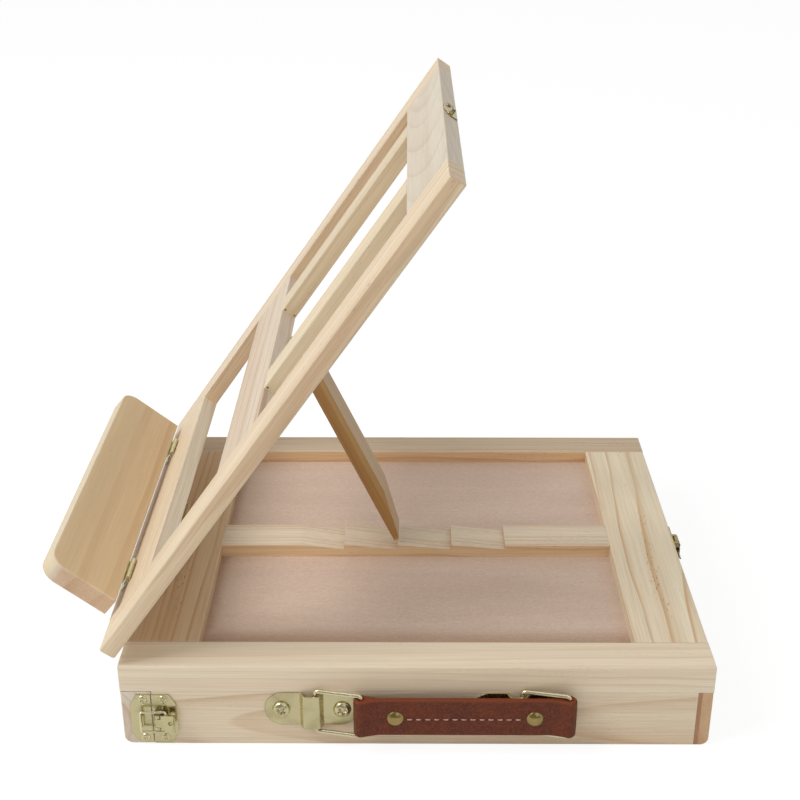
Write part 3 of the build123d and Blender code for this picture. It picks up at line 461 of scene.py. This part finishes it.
# ---- plywood panels ---------------------------------------------------------------------------------------
VENEER_FIGURE = (6.0, 34.0, 34.0)
VENEER_STREAKS = (26.0, 420.0, 420.0)
VENEER_PORES = (420.0, 2200.0, 2200.0)
VENEER_SPECKLE = 1700.0
VENEER_TONE, VENEER_VEIN = rgb(0.70, 0.54, 0.43), rgb(0.60, 0.43, 0.34)
# the colour of the painted shade in the top panel's low corner
PAINTED_SHADE_TONE = (0.62, 0.52, 0.43)
# how far from the near rail and from the hinge rail the painted shade starts to fade and has faded
PAINTED_SHADE_FROM_NEAR, PAINTED_SHADE_FROM_HINGE = mm(12.5, 28.5), mm(0, 9)


def plywood(node, painted_shade):
    """Rotary-cut veneer: broad soft figure, fine pores that run along X.

    The second argument is how dark a painted shade is in the low corner along the hinge rail and the near
    rail, which light reaches least.
    """
    material, g, surface, _ = new_material("plywood_" + node)
    place = g.coordinate("Object")
    pores = g.streaks(place, VENEER_PORES)
    speckle = g.noise(place, VENEER_SPECKLE, 1.0)
    figure = g.smooth(g.streaks(place, VENEER_FIGURE, 3.0, 0.55, 0.6), 0.35, 0.72, 0.0, 0.40)
    streak = g.smooth(g.streaks(place, VENEER_STREAKS), 0.45, 0.75, 0.0, 0.22)
    color = g.mix(figure, VENEER_TONE, VENEER_VEIN)
    color = g.mix(streak, color, VENEER_VEIN)
    fine = g.math("MULTIPLY", g.smooth(pores, 0.3, 0.8, 0.90, 1.07), g.smooth(speckle, 0.3, 0.7, 0.95, 1.05))
    color = g.shaded(color, fine)
    parts = g.split(place)
    near_edge, hinge_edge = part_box("top_rail_near")[1].y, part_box("top_end_rail_hinge")[1].x
    near = g.smooth(parts["Y"], *(near_edge + reach for reach in PAINTED_SHADE_FROM_NEAR), 1.0, 0.0)
    left = g.smooth(parts["X"], *(hinge_edge + reach for reach in PAINTED_SHADE_FROM_HINGE), 1.0, 0.0)
    # painted shade along the near rail and the hinge rail, darkest at each rail's edge
    color = g.tinted(color, g.math("MULTIPLY", g.math("MAXIMUM", near, left), painted_shade), PAINTED_SHADE_TONE)
    height = g.math("ADD", pores, g.math("MULTIPLY", speckle, 0.5))
    g.fill(
        surface,
        {
            "Base Color": color,
            "Roughness": 0.62,
            "Specular IOR Level": 0.25,
            "Normal": g.bump(height, strength=0.4, distance=0.00012),
        },
    )
    dress(node, material)


# each panel, and how dark the painted shade in its low corner is
PANELS = {"top_panel": 0.72, "bottom_panel": 0.0, "drawer_bottom": 0.0}
for node, painted_shade in PANELS.items():
    plywood(node, painted_shade)


# ---- metal ------------------------------------------------------------------------------------------------
METAL_CLOUDS = 75.0
METAL_SPOTS = 1300.0
METAL_SCRATCHES = (300.0, 300.0, 5200.0)


def make_metal_group():
    """Thin plating on stamped sheet: faint cloudiness, fine scratches and small dull spots."""
    group, g, source, result = new_group(
        "plated_metal",
        {"Vector": "Vector", "Bright": "Color", "Dull": "Color", "Wear": "Float"},
        {"Color": "Color", "Roughness": "Float", "Height": "Float"},
    )
    place = source["Vector"]
    cloud = g.noise(place, METAL_CLOUDS)
    scratch = g.streaks(place, METAL_SCRATCHES)
    spot = g.smooth(g.noise(place, METAL_SPOTS, 1.0), 0.70, 0.78)
    dull = g.math("MAXIMUM", g.smooth(cloud, 0.40, 0.75, 0.0, 0.7), g.math("MULTIPLY", spot, source["Wear"]))
    rough = g.math("ADD", g.smooth(cloud, 0.3, 0.8, 0.22, 0.32), g.smooth(scratch, 0.5, 0.8, 0.0, 0.07))
    height = g.math("ADD", g.math("MULTIPLY", cloud, 0.6), g.math("MULTIPLY", scratch, 0.3))
    color = g.mix(dull, source["Bright"], source["Dull"])
    g.fill(result, {"Color": color, "Roughness": rough, "Height": height})
    return group


METAL = make_metal_group()
METAL_RELIEF = {"strength": 0.20, "distance": 0.00005, "rounding": 0.0004}


def plated(name, bright, dull, wear):
    material, g, surface, _ = new_material(name)
    look = {"Vector": g.coordinate("Object"), "Bright": bright, "Dull": dull, "Wear": wear}
    metal = g.node("ShaderNodeGroup", look, node_tree=METAL).outputs
    g.fill(
        surface,
        {
            "Base Color": metal["Color"],
            "Roughness": metal["Roughness"],
            "Metallic": 1.0,
            "Normal": g.worn_bump(metal["Height"], **METAL_RELIEF),
        },
    )
    return material


BRASS = plated("pale_brass", rgb(0.62, 0.56, 0.33), rgb(0.42, 0.38, 0.21), 0.5)
WIRE_BRASS = plated("bright_brass_wire", rgb(0.80, 0.74, 0.50), rgb(0.58, 0.50, 0.27), 0.3)
SCREW_BRASS = plated("screw_brass", rgb(0.72, 0.65, 0.40), rgb(0.46, 0.40, 0.22), 0.4)
# old brass is darker partly for tarnish and partly as painted shade, for the fittings that sit in shade
SHADED_OLD_BRASS = plated("shaded_old_brass", rgb(0.34, 0.27, 0.11), rgb(0.13, 0.10, 0.045), 0.8)
RIVET_BRASS = plated("rivet_brass", rgb(0.39, 0.29, 0.11), rgb(0.22, 0.16, 0.06), 0.6)

# fittings in shade, which take the old brass with its painted shade
SHADED_FITTINGS = (
    "end_hook",
    "end_catch_base",
    "catch_lever_end",
    "catch_loop_end",
    "leg_hinge_leg_leaf",
    "leg_hinge_crossbar_leaf",
    "leg_hinge_pin",
)


def fitting_finish(name):
    if name in SHADED_FITTINGS:
        return SHADED_OLD_BRASS
    if name == "handle_rivets":
        return RIVET_BRASS
    if name.startswith(("handle_ring", "catch_loop")):
        return WIRE_BRASS
    return BRASS


wooden = {row[0] for row in BOARDS} | set(PANELS)
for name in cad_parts:
    if name not in wooden:
        dress(name, fitting_finish(name))


# ---- mesh helpers -----------------------------------------------------------------------------------------
def spread(count):
    """Even angles round a full turn."""
    return [2 * pi * step / count for step in range(count)]


def fan(bm, row, tip):
    """Joins a closed ring of vertices to one vertex."""
    for first, second in zip(row, row[1:] + row[:1]):
        bm.faces.new((first, second, tip))


def loft(bm, rows, closed_ends=True):
    """Skins closed rings of points; each row has as many points as the others. Gives the rows' vertices."""
    made = [[bm.verts.new(point) for point in row] for row in rows]
    for lower, upper in zip(made, made[1:]):
        sides = zip(lower, lower[1:] + lower[:1], upper[1:] + upper[:1], upper)
        for corners in sides:
            bm.faces.new(corners)
    if closed_ends:
        for row in (made[0], made[-1]):
            fan(bm, row, bm.verts.new(sum((vert.co for vert in row), Vector()) / len(row)))
    return made


def finish_piece(name, bm, body, material, replaced=None):
    """Turns built faces outward and hangs the new piece on its body."""
    bmesh.ops.recalc_face_normals(bm, faces=bm.faces)
    for face in bm.faces:
        face.smooth = True
    mesh = bpy.data.meshes.new(name)
    bm.to_mesh(mesh)
    bm.free()
    piece = bpy.data.objects.new(name, mesh)
    bpy.context.scene.collection.objects.link(piece)
    mesh.materials.append(material)
    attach(piece, body)
    if replaced:
        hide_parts(replaced)


# ---- cross-slotted screws ---------------------------------------------------------------------------------
# the cross recess: half its arms' width and their reach as shares of the head's radius, and its depth as a
# share of the head's height, which is counted up to a share of the head's radius
SLOT_HALF, SLOT_REACH, SLOT_DEPTH, HEAD_HEIGHT_LIMIT = 0.13, 0.52, 0.62, 0.55
# the arms' walls: where they start and how far they slope, in half widths, and how the floor rises outward
WALL_START, WALL_SLOPE, ARM_END_SLOPE, FLOOR_RISE = 1.35, 0.5, 0.8, 0.35
HEAD_RINGS = 12
DOME_POWER = 2.4
RIM_SHARE, TAPER_START, TIP_SHARE = 0.97, 0.18, 0.2
NECK_STEP = 0.0001
# each screw stops at another angle
FIRST_TURN, TURN_STEP = 0.35, 0.9


def islands(node):
    """The separate solids of a CAD node, each as an array of its points."""
    bm = bmesh.new()
    bm.from_mesh(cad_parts[node].data)
    bmesh.ops.remove_doubles(bm, verts=bm.verts, dist=1e-6)
    left = set(bm.verts)
    found = []
    while left:
        front = [left.pop()]
        points = []
        while front:
            vert = front.pop()
            points.append(tuple(vert.co))
            for edge in vert.link_edges:
                other = edge.other_vert(vert)
                if other in left:
                    left.remove(other)
                    front.append(other)
        found.append(np.array(points))
    bm.free()
    return sorted(found, key=lambda points: tuple(np.round(points.mean(0), 5)))


def screw_axis(points):
    """(tip, direction to the head, length, head radius) of one screw, found from its round symmetry."""
    middle = points.mean(0)
    values, vectors = np.linalg.eigh(np.cov((points - middle).T))
    odd = 0 if abs(values[1] - values[2]) < abs(values[0] - values[1]) else 2
    direction = vectors[:, odd]
    along = points @ direction
    halfway = (along.max() + along.min()) / 2
    radial = points - middle - np.outer((points - middle) @ direction, direction)
    reach = np.linalg.norm(radial, axis=1)
    if reach[along > halfway].max() < reach[along <= halfway].max():
        direction, along = -direction, -along
    tip = middle + direction * (along.min() - middle @ direction)
    return Vector(tip), Vector(direction), float(along.max() - along.min()), float(reach.max())


def recess(x, y, head):
    """How deep the cross recess is at one point of a head, from 0 at its rim to 1 at its floor."""
    half, reach = head * SLOT_HALF, head * SLOT_REACH
    arms = []
    for across, run in ((x, y), (y, x)):
        wall = (half * WALL_START - abs(across)) / (half * WALL_SLOPE)
        end = (reach - abs(run)) / (half * ARM_END_SLOPE)
        arms.append(max(0.0, min(1.0, wall)) * max(0.0, min(1.0, end)))
    return max(arms)


def build_screw(bm, points, crown, sunk, shank, segments, turn, grow):
    """One wood screw with a cross recess. crown is the dome above the head's rim, sunk the head below it."""
    tip, direction, length, head = screw_axis(points)
    head *= grow
    slot_depth = min(crown + sunk, head * HEAD_HEIGHT_LIMIT) * SLOT_DEPTH
    side = direction.orthogonal().normalized()
    other = direction.cross(side)

    def spot(radius, angle, height):
        spin = angle + turn
        return tip + direction * height + (side * cos(spin) + other * sin(spin)) * radius

    rows = []
    for ring in range(1, HEAD_RINGS + 1):
        share = ring / HEAD_RINGS
        radius = head * share
        dome = length - crown + crown * sqrt(1 - share**DOME_POWER)
        deep = slot_depth * (1 - FLOOR_RISE * share)
        rows.append(
            [
                spot(radius, angle, dome - deep * recess(radius * cos(angle), radius * sin(angle), head))
                for angle in spread(segments)
            ]
        )
    neck = length - crown - sunk
    for radius, height in (
        (head * RIM_SHARE, neck),
        (shank, neck - NECK_STEP),
        (shank, length * TAPER_START),
        (shank * TIP_SHARE, 0.0),
    ):
        rows.append([spot(radius, angle, height) for angle in spread(segments)])
    made = loft(bm, rows, closed_ends=False)
    fan(bm, made[0], bm.verts.new(tip + direction * (length - slot_depth)))
    fan(bm, made[-1], bm.verts.new(tip))


# node, body, then in millimetres the crown, the head below it and the shank's radius, then the points round
# the head and how much wider than the CAD screw's the head is
SCREWS = (
    ("handle_screws", "box", (3.0, 0.4, 1.8), 64, 1.0),
    ("catch_base_screws", "box", (1.3, 0.4, 1.0), 48, 1.5),
    ("drawer_hook_screws", "drawer", (1.3, 0.4, 1.0), 48, 1.5),
    ("end_hook_screws", "easel", (1.2, 0.4, 1.0), 40, 1.0),
    ("easel_hinge_box_screws", "box", (0.25, 0.8, 1.0), 32, 1.0),
    ("easel_hinge_screws", "easel", (0.25, 0.8, 1.0), 32, 1.0),
    ("leg_hinge_screws", "leg", (0.25, 0.8, 1.0), 32, 1.0),
    ("ledge_hinge_screws", "ledge", (0.25, 0.8, 1.0), 32, 1.0),
)
for node, body, heights, segments, grow in SCREWS:
    crown, sunk, shank = mm(*heights)
    bm = bmesh.new()
    for index, points in enumerate(islands(node)):
        build_screw(bm, points, crown, sunk, shank, segments, FIRST_TURN + TURN_STEP * index, grow)
    # the screws on the easel and the leg take the old brass, darkened partly as painted shade
    finish = SHADED_OLD_BRASS if body in ("easel", "leg") else SCREW_BRASS
    finish_piece(node + "_slotted", bm, body, finish, node)


# ---- nails that pin the slats to the crossbar -------------------------------------------------------------
NAIL_INSET = 0.0016
# a nail's head from under the wood outward: radius, and height above the slat's side
NAIL_PROFILE = (mm(0.4, -1.2), mm(0.7, -0.2), mm(0.7, 0.05), mm(0.4, 0.15))
NAIL_POINTS = 12


def build_slat_nails():
    """Two small sunk nail heads in the near side of each slat, just above the crossbar."""
    bm = bmesh.new()
    for slat in ("easel_slat_near", "easel_slat_far"):
        low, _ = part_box(slat)
        thickness = 2 * half_size(slat, OUTWARD)[0]
        # the square lower end runs from the box's lowest point, at the slat's back, up to its front
        corner = Vector((low.x + thickness * sin(TILT), low.y, low.z))
        for depth in (NAIL_INSET, thickness - NAIL_INSET):
            centre = corner + ALONG * NAIL_INSET + OUTWARD * depth
            rows = []
            for radius, height in NAIL_PROFILE:
                level = centre - AXIS_Y * height
                turns = spread(NAIL_POINTS)
                rows.append([level + (ALONG * cos(a) + OUTWARD * sin(a)) * radius for a in turns])
            loft(bm, rows)
    finish_piece("slat_nails", bm, "easel", SHADED_OLD_BRASS)


build_slat_nails()


# ---- leather strap ----------------------------------------------------------------------------------------
strap_low, strap_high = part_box("handle_strap")
strap_middle = (strap_low + strap_high) / 2
STRAP_HALF_WIDTH = (strap_high.z - strap_low.z) / 2
STRAP_HALF, STRAP_TAPER, EYE_RADIUS, EYE_HOLE, EYE_INSET = mm(2.1, 11.0, 4.55, 1.7, 4.6)
EYE_X = (strap_high.x - strap_low.x) / 2 - EYE_INSET
SWELL_POWER = 1.25
EDGE_ROUND = 0.0018
EDGE_STEPS, FLAT_STEPS, LENGTH_POINTS, EYE_STEPS, HOLE_POINTS = 6, 8, 81, 16, 24
# how much lower the strap's faces are at its edges than in the middle of its width
STRAP_PAD = 0.00012

STITCHES, STITCH_PITCH, STITCH_LENGTH, STITCH_RADIUS = 13, 0.0053, 0.0034, 0.00042
# from the strap's middle to the first stitch, and how far below the middle the row runs
STITCH_REACH, STITCH_DROP = mm(34.7, 0.4)
STITCH_START = Vector((strap_middle.x - STITCH_REACH, 0, strap_middle.z - STITCH_DROP))
# the stitched groove fades in and out between these distances past the first stitch, and off its row
GROOVE_IN, GROOVE_OUT, GROOVE_SIDE = mm(-2.0, 0.0), mm(69, 71), mm(0.3, 0.9)

LEATHER_GRAIN, LEATHER_CLOUDS, LEATHER_SPECKS = 1150.0, 90.0, 900.0
LEATHER_DARK, LEATHER_RED = rgb(0.112, 0.026, 0.011), rgb(0.165, 0.038, 0.014)
LEATHER_SPECK, LEATHER_CREASE = rgb(0.24, 0.062, 0.022), rgb(0.045, 0.012, 0.008)
LEATHER_WEAR_AND_SHEEN, LEATHER_GROOVE = rgb(0.20, 0.045, 0.014), rgb(0.05, 0.014, 0.009)


def leather():
    """Grained leather, brighter on its narrow edges for rubbed wear and a painted highlight, and pressed in
    along the stitching.
    """
    material, g, surface, _ = new_material("red_brown_leather")
    place = g.coordinate("Object")
    cells = {"Vector": place, "Scale": LEATHER_GRAIN}
    grain = g.node("ShaderNodeTexVoronoi", cells, feature="DISTANCE_TO_EDGE")
    crease = g.smooth(grain.outputs["Distance"], 0.0, 0.14)
    cloud = g.noise(place, LEATHER_CLOUDS, 3.0, 0.6)
    speck = g.smooth(g.noise(place, LEATHER_SPECKS, 2.0, 0.6), 0.46, 0.60, 0.0, 0.62)
    color = g.mix(g.smooth(cloud, 0.3, 0.75), LEATHER_DARK, LEATHER_RED)
    color = g.mix(speck, color, LEATHER_SPECK)
    color = g.mix(g.smooth(crease, 0.0, 1.0, 0.45, 0.0), color, LEATHER_CREASE)
    # the narrow top and bottom edges are brighter: rubbed wear together with a painted highlight where the
    # edge catches the light
    upright = g.math("ABSOLUTE", g.split(g.coordinate("Normal"))["Z"])
    color = g.mix(g.smooth(upright, 0.25, 0.95, 0.0, 0.8), color, LEATHER_WEAR_AND_SHEEN)
    parts = g.split(g.vector("SUBTRACT", place, STITCH_START))
    row = g.smooth(g.math("ABSOLUTE", parts["Z"]), *GROOVE_SIDE, 1.0, 0.0)
    run = g.math("MULTIPLY", g.smooth(parts["X"], *GROOVE_IN), g.smooth(parts["X"], *GROOVE_OUT, 1.0, 0.0))
    groove = g.math("MULTIPLY", row, run)
    color = g.mix(g.math("MULTIPLY", groove, 0.45), color, LEATHER_GROOVE)
    height = g.math("SUBTRACT", crease, g.math("MULTIPLY", groove, 1.5))
    g.fill(
        surface,
        {
            "Base Color": color,
            "Roughness": g.smooth(cloud, 0.3, 0.7, 0.46, 0.58),
            "Specular IOR Level": 0.22,
            "Normal": g.bump(height, strength=0.55, distance=0.00012),
        },
    )
    return material


def strap_half_thickness(x):
    """Half the strap's thickness in plan, at x from its middle: slim, then swelling to the folded eyes."""
    reach = abs(x) - (EYE_X - STRAP_TAPER)
    if reach <= 0:
        return STRAP_HALF
    return STRAP_HALF + (EYE_RADIUS - STRAP_HALF) * (reach / STRAP_TAPER) ** SWELL_POWER


def strap_outline():
    """The strap's outline in plan, counter-clockwise, as (x, y) with even steps round the eyes."""
    front = [(x, -strap_half_thickness(x)) for x in np.linspace(-EYE_X, EYE_X, LENGTH_POINTS)]
    turn = [-pi / 2 + pi * step / EYE_STEPS for step in range(1, EYE_STEPS)]
    right = [(EYE_X + EYE_RADIUS * cos(a), EYE_RADIUS * sin(a)) for a in turn]
    back = [(x, -y) for x, y in reversed(front)]
    left = [(-x, -y) for x, y in right]
    return front + right + back + left


def inset(outline, amount):
    """Moves each point of a closed outline inward along its normal."""
    moved = []
    for i, (x, y) in enumerate(outline):
        before, after = outline[i - 1], outline[(i + 1) % len(outline)]
        run, rise = after[0] - before[0], after[1] - before[1]
        size = hypot(run, rise)
        moved.append((x - rise / size * amount, y + run / size * amount))
    return moved


def strap_levels():
    """The strap's section, as heights from its middle and how far its outline is drawn in at each."""
    half = STRAP_HALF_WIDTH
    corner = [pi / 2 * step / EDGE_STEPS for step in range(EDGE_STEPS + 1)]
    lower = [(-half + EDGE_ROUND * (1 - cos(a)), EDGE_ROUND * (1 - sin(a))) for a in corner]
    flat = 2 * (half - EDGE_ROUND)
    middle = [(-half + EDGE_ROUND + flat * step / FLAT_STEPS, 0.0) for step in range(1, FLAT_STEPS)]
    upper = [(-z, inward) for z, inward in reversed(lower)]
    return lower + middle + upper


def build_strap():
    """One folded strap with an eye at each end for its ring."""
    bm = bmesh.new()
    outline = strap_outline()
    rows = []
    for z, inward in strap_levels():
        thinner = STRAP_PAD * (z / STRAP_HALF_WIDTH) ** 2
        rows.append([strap_middle + Vector((x, y, z)) for x, y in inset(outline, inward + thinner)])
    made = loft(bm, rows, closed_ends=False)
    for eye in (-EYE_X, EYE_X):
        hole = [(eye + EYE_HOLE * cos(a), EYE_HOLE * sin(a)) for a in spread(HOLE_POINTS)]
        sides = (-STRAP_HALF_WIDTH, STRAP_HALF_WIDTH)
        rings = [[strap_middle + Vector((x, y, z)) for x, y in hole] for z in sides]
        holes = loft(bm, rings, closed_ends=False)
        made[0], made[-1] = made[0] + holes[0], made[-1] + holes[-1]
    for rim in (made[0], made[-1]):
        members = set(rim)
        edges = [edge for edge in bm.edges if edge.is_boundary and set(edge.verts) <= members]
        bmesh.ops.triangle_fill(bm, use_beauty=True, edges=edges)
    finish_piece("leather_strap", bm, "strap", leather(), "handle_strap")


build_strap()

# ---- stitching --------------------------------------------------------------------------------------------
THREAD_DARK, THREAD_PALE = rgb(0.42, 0.20, 0.15), rgb(0.66, 0.42, 0.36)
THREAD_TWIST = (2600.0, 900.0, 900.0)
# a stitch starts this share into its pitch, and those on the back half a pitch later
STITCH_LAG, BACK_LAG = 0.1, 0.5
STITCH_SUNK, STITCH_RISE = mm(0.3, 0.4)
STITCH_THIN = 0.45
STITCH_STEPS, STITCH_POINTS = 8, 8


def thread():
    """Waxed thread: pale pinkish, with a fine twist."""
    material, g, surface, _ = new_material("waxed_thread")
    twist = g.streaks(g.coordinate("Object"), THREAD_TWIST, 1.0)
    color = g.mix(g.smooth(twist, 0.35, 0.7), THREAD_DARK, THREAD_PALE)
    relief = g.bump(twist, strength=0.4, distance=0.0001)
    g.fill(surface, {"Base Color": color, "Roughness": 0.6, "Normal": relief})
    return material


def build_stitches():
    """Short round stitches on both faces, each dipping into the leather at its ends."""
    bm = bmesh.new()
    for face, lag in ((-1, STITCH_LAG), (1, STITCH_LAG + BACK_LAG)):
        for index in range(STITCHES):
            start = STITCH_START.x + STITCH_PITCH * (index + lag)
            rows = []
            for step in range(STITCH_STEPS + 1):
                share = step / STITCH_STEPS
                rise = sin(pi * share) ** 0.5
                out = STRAP_HALF - STITCH_SUNK + STITCH_RISE * rise
                centre = Vector((start + STITCH_LENGTH * share, strap_middle.y + face * out, STITCH_START.z))
                radius = STITCH_RADIUS * (STITCH_THIN + (1 - STITCH_THIN) * rise)
                rows.append([centre + Vector((0, cos(a), sin(a))) * radius for a in spread(STITCH_POINTS)])
            loft(bm, rows)
    finish_piece("strap_stitches", bm, "strap", thread())


build_stitches()

# ---- table ------------------------------------------------------------------------------------------------
TABLE_REACH = 6.0
TABLE_TONE, TABLE_GLOW = rgb(0.86, 0.86, 0.86), 1.12
# the share of the glow that the camera sees; the rest is the lit table, which keeps the shadow
GLOW_SHARE = 0.78
# the table's front edge falls off into the dim side of the room, as the polished metal sees it
DIM_FROM, DIM_TO, DIM_SHARE = -0.60, -0.22, 0.75
DIM_TONE = rgb(0.2, 0.2, 0.2)

floor_mesh = bpy.data.meshes.new("floor")
corners = [(x * TABLE_REACH, y * TABLE_REACH, 0) for x, y in ((-1, -1), (1, -1), (1, 1), (-1, 1))]
floor_mesh.from_pydata(corners, [], [(0, 1, 2, 3)])
floor = bpy.data.objects.new("floor", floor_mesh)
bpy.context.scene.collection.objects.link(floor)
table, g, surface, output = new_material("white_table")
g.fill(surface, {"Base Color": TABLE_TONE, "Roughness": 0.9, "Specular IOR Level": 0.1})
glow = g.node("ShaderNodeEmission", {"Color": WHITE, "Strength": TABLE_GLOW})
unlit = g.node("ShaderNodeEmission", {"Color": DIM_TONE, "Strength": 1.0})
rays = g.node("ShaderNodeLightPath").outputs
front = g.smooth(g.split(g.coordinate("Object"))["Y"], DIM_FROM, DIM_TO, DIM_SHARE, 0.0)
dark = g.math("MULTIPLY", front, rays["Is Glossy Ray"])
dimmed = g.node("ShaderNodeMixShader", {0: dark, 1: surface.outputs[0], 2: unlit.outputs[0]})
seen = g.math("MULTIPLY", rays["Is Camera Ray"], GLOW_SHARE)
blend = g.node("ShaderNodeMixShader", {0: seen, 1: dimmed.outputs[0], 2: glow.outputs[0]})
g.fill(output, {"Surface": blend.outputs[0]})
floor_mesh.materials.append(table)

# ---- room light -------------------------------------------------------------------------------------------
ROOM_LIGHT, ROOM_SEEN = 0.50, 1.0
# the side of the room that the handle faces is dim, which gives the polished metal its darker middle
DIM_SIDE = (0.0, -0.98, 0.2)
DIM_SIDE_START, DIM_SIDE_END, DIM_SIDE_SHARE = 0.30, 0.75, 0.75

world = bpy.data.worlds.new("studio")
bpy.context.scene.world = world
world.use_nodes = True
world.node_tree.nodes.clear()
g = Graph(world.node_tree)
rays = g.node("ShaderNodeLightPath").outputs
mirrored = g.math("MAXIMUM", rays["Is Camera Ray"], rays["Is Glossy Ray"])
shown = g.math("MAXIMUM", mirrored, rays["Is Transmission Ray"])
toward = g.vector("DOT_PRODUCT", g.coordinate("Generated"), DIM_SIDE)
dim = g.math("MULTIPLY", g.smooth(toward, DIM_SIDE_START, DIM_SIDE_END), rays["Is Glossy Ray"])
level = g.smooth(shown, 0.0, 1.0, ROOM_LIGHT, ROOM_SEEN)
strength = g.math("SUBTRACT", level, g.math("MULTIPLY", dim, DIM_SIDE_SHARE))
sky = g.node("ShaderNodeBackground", {"Color": WHITE, "Strength": strength})
g.node("ShaderNodeOutputWorld", {"Surface": sky.outputs[0]})

# ---- lamps ------------------------------------------------------------------------------------------------
LAMP_TARGET = Vector((0, 0, 0.05))
# name, place, side of its square, power
LAMPS = (
    ("key", (-1.45, -0.5, 1.8), 1.1, 28),
    ("fill", (0.9, -1.7, 1.3), 1.4, 4),
)
for name, place, side, power in LAMPS:
    lamp_data = bpy.data.lights.new(name, "AREA")
    lamp_data.shape = "RECTANGLE"
    lamp_data.size = lamp_data.size_y = side
    lamp_data.energy = power
    lamp = bpy.data.objects.new(name, lamp_data)
    lamp.location = place
    lamp.rotation_euler = (LAMP_TARGET - Vector(place)).to_track_quat("-Z", "Y").to_euler()
    bpy.context.scene.collection.objects.link(lamp)

# ---- camera -----------------------------------------------------------------------------------------------
CAMERA_PLACE = mm(-5.4, -742.1, 536.7)
CAMERA_DIP, CAMERA_TURN = 23.29, 0.24
SENSOR_WIDTH, LENS = 36, 57.3
SHIFT_X, SHIFT_Y = -0.004, -0.1

camera_data = bpy.data.cameras.new("camera")
camera_data.sensor_width = SENSOR_WIDTH
camera_data.lens = LENS
camera_data.shift_x, camera_data.shift_y = SHIFT_X, SHIFT_Y
camera_data.clip_start = 0.01
camera = bpy.data.objects.new("camera", camera_data)
camera.location = CAMERA_PLACE
camera.rotation_euler = Euler((radians(90 - CAMERA_DIP), 0, radians(CAMERA_TURN)))
bpy.context.scene.collection.objects.link(camera)
bpy.context.scene.camera = camera
bpy.context.scene.view_settings.view_transform = "Standard"
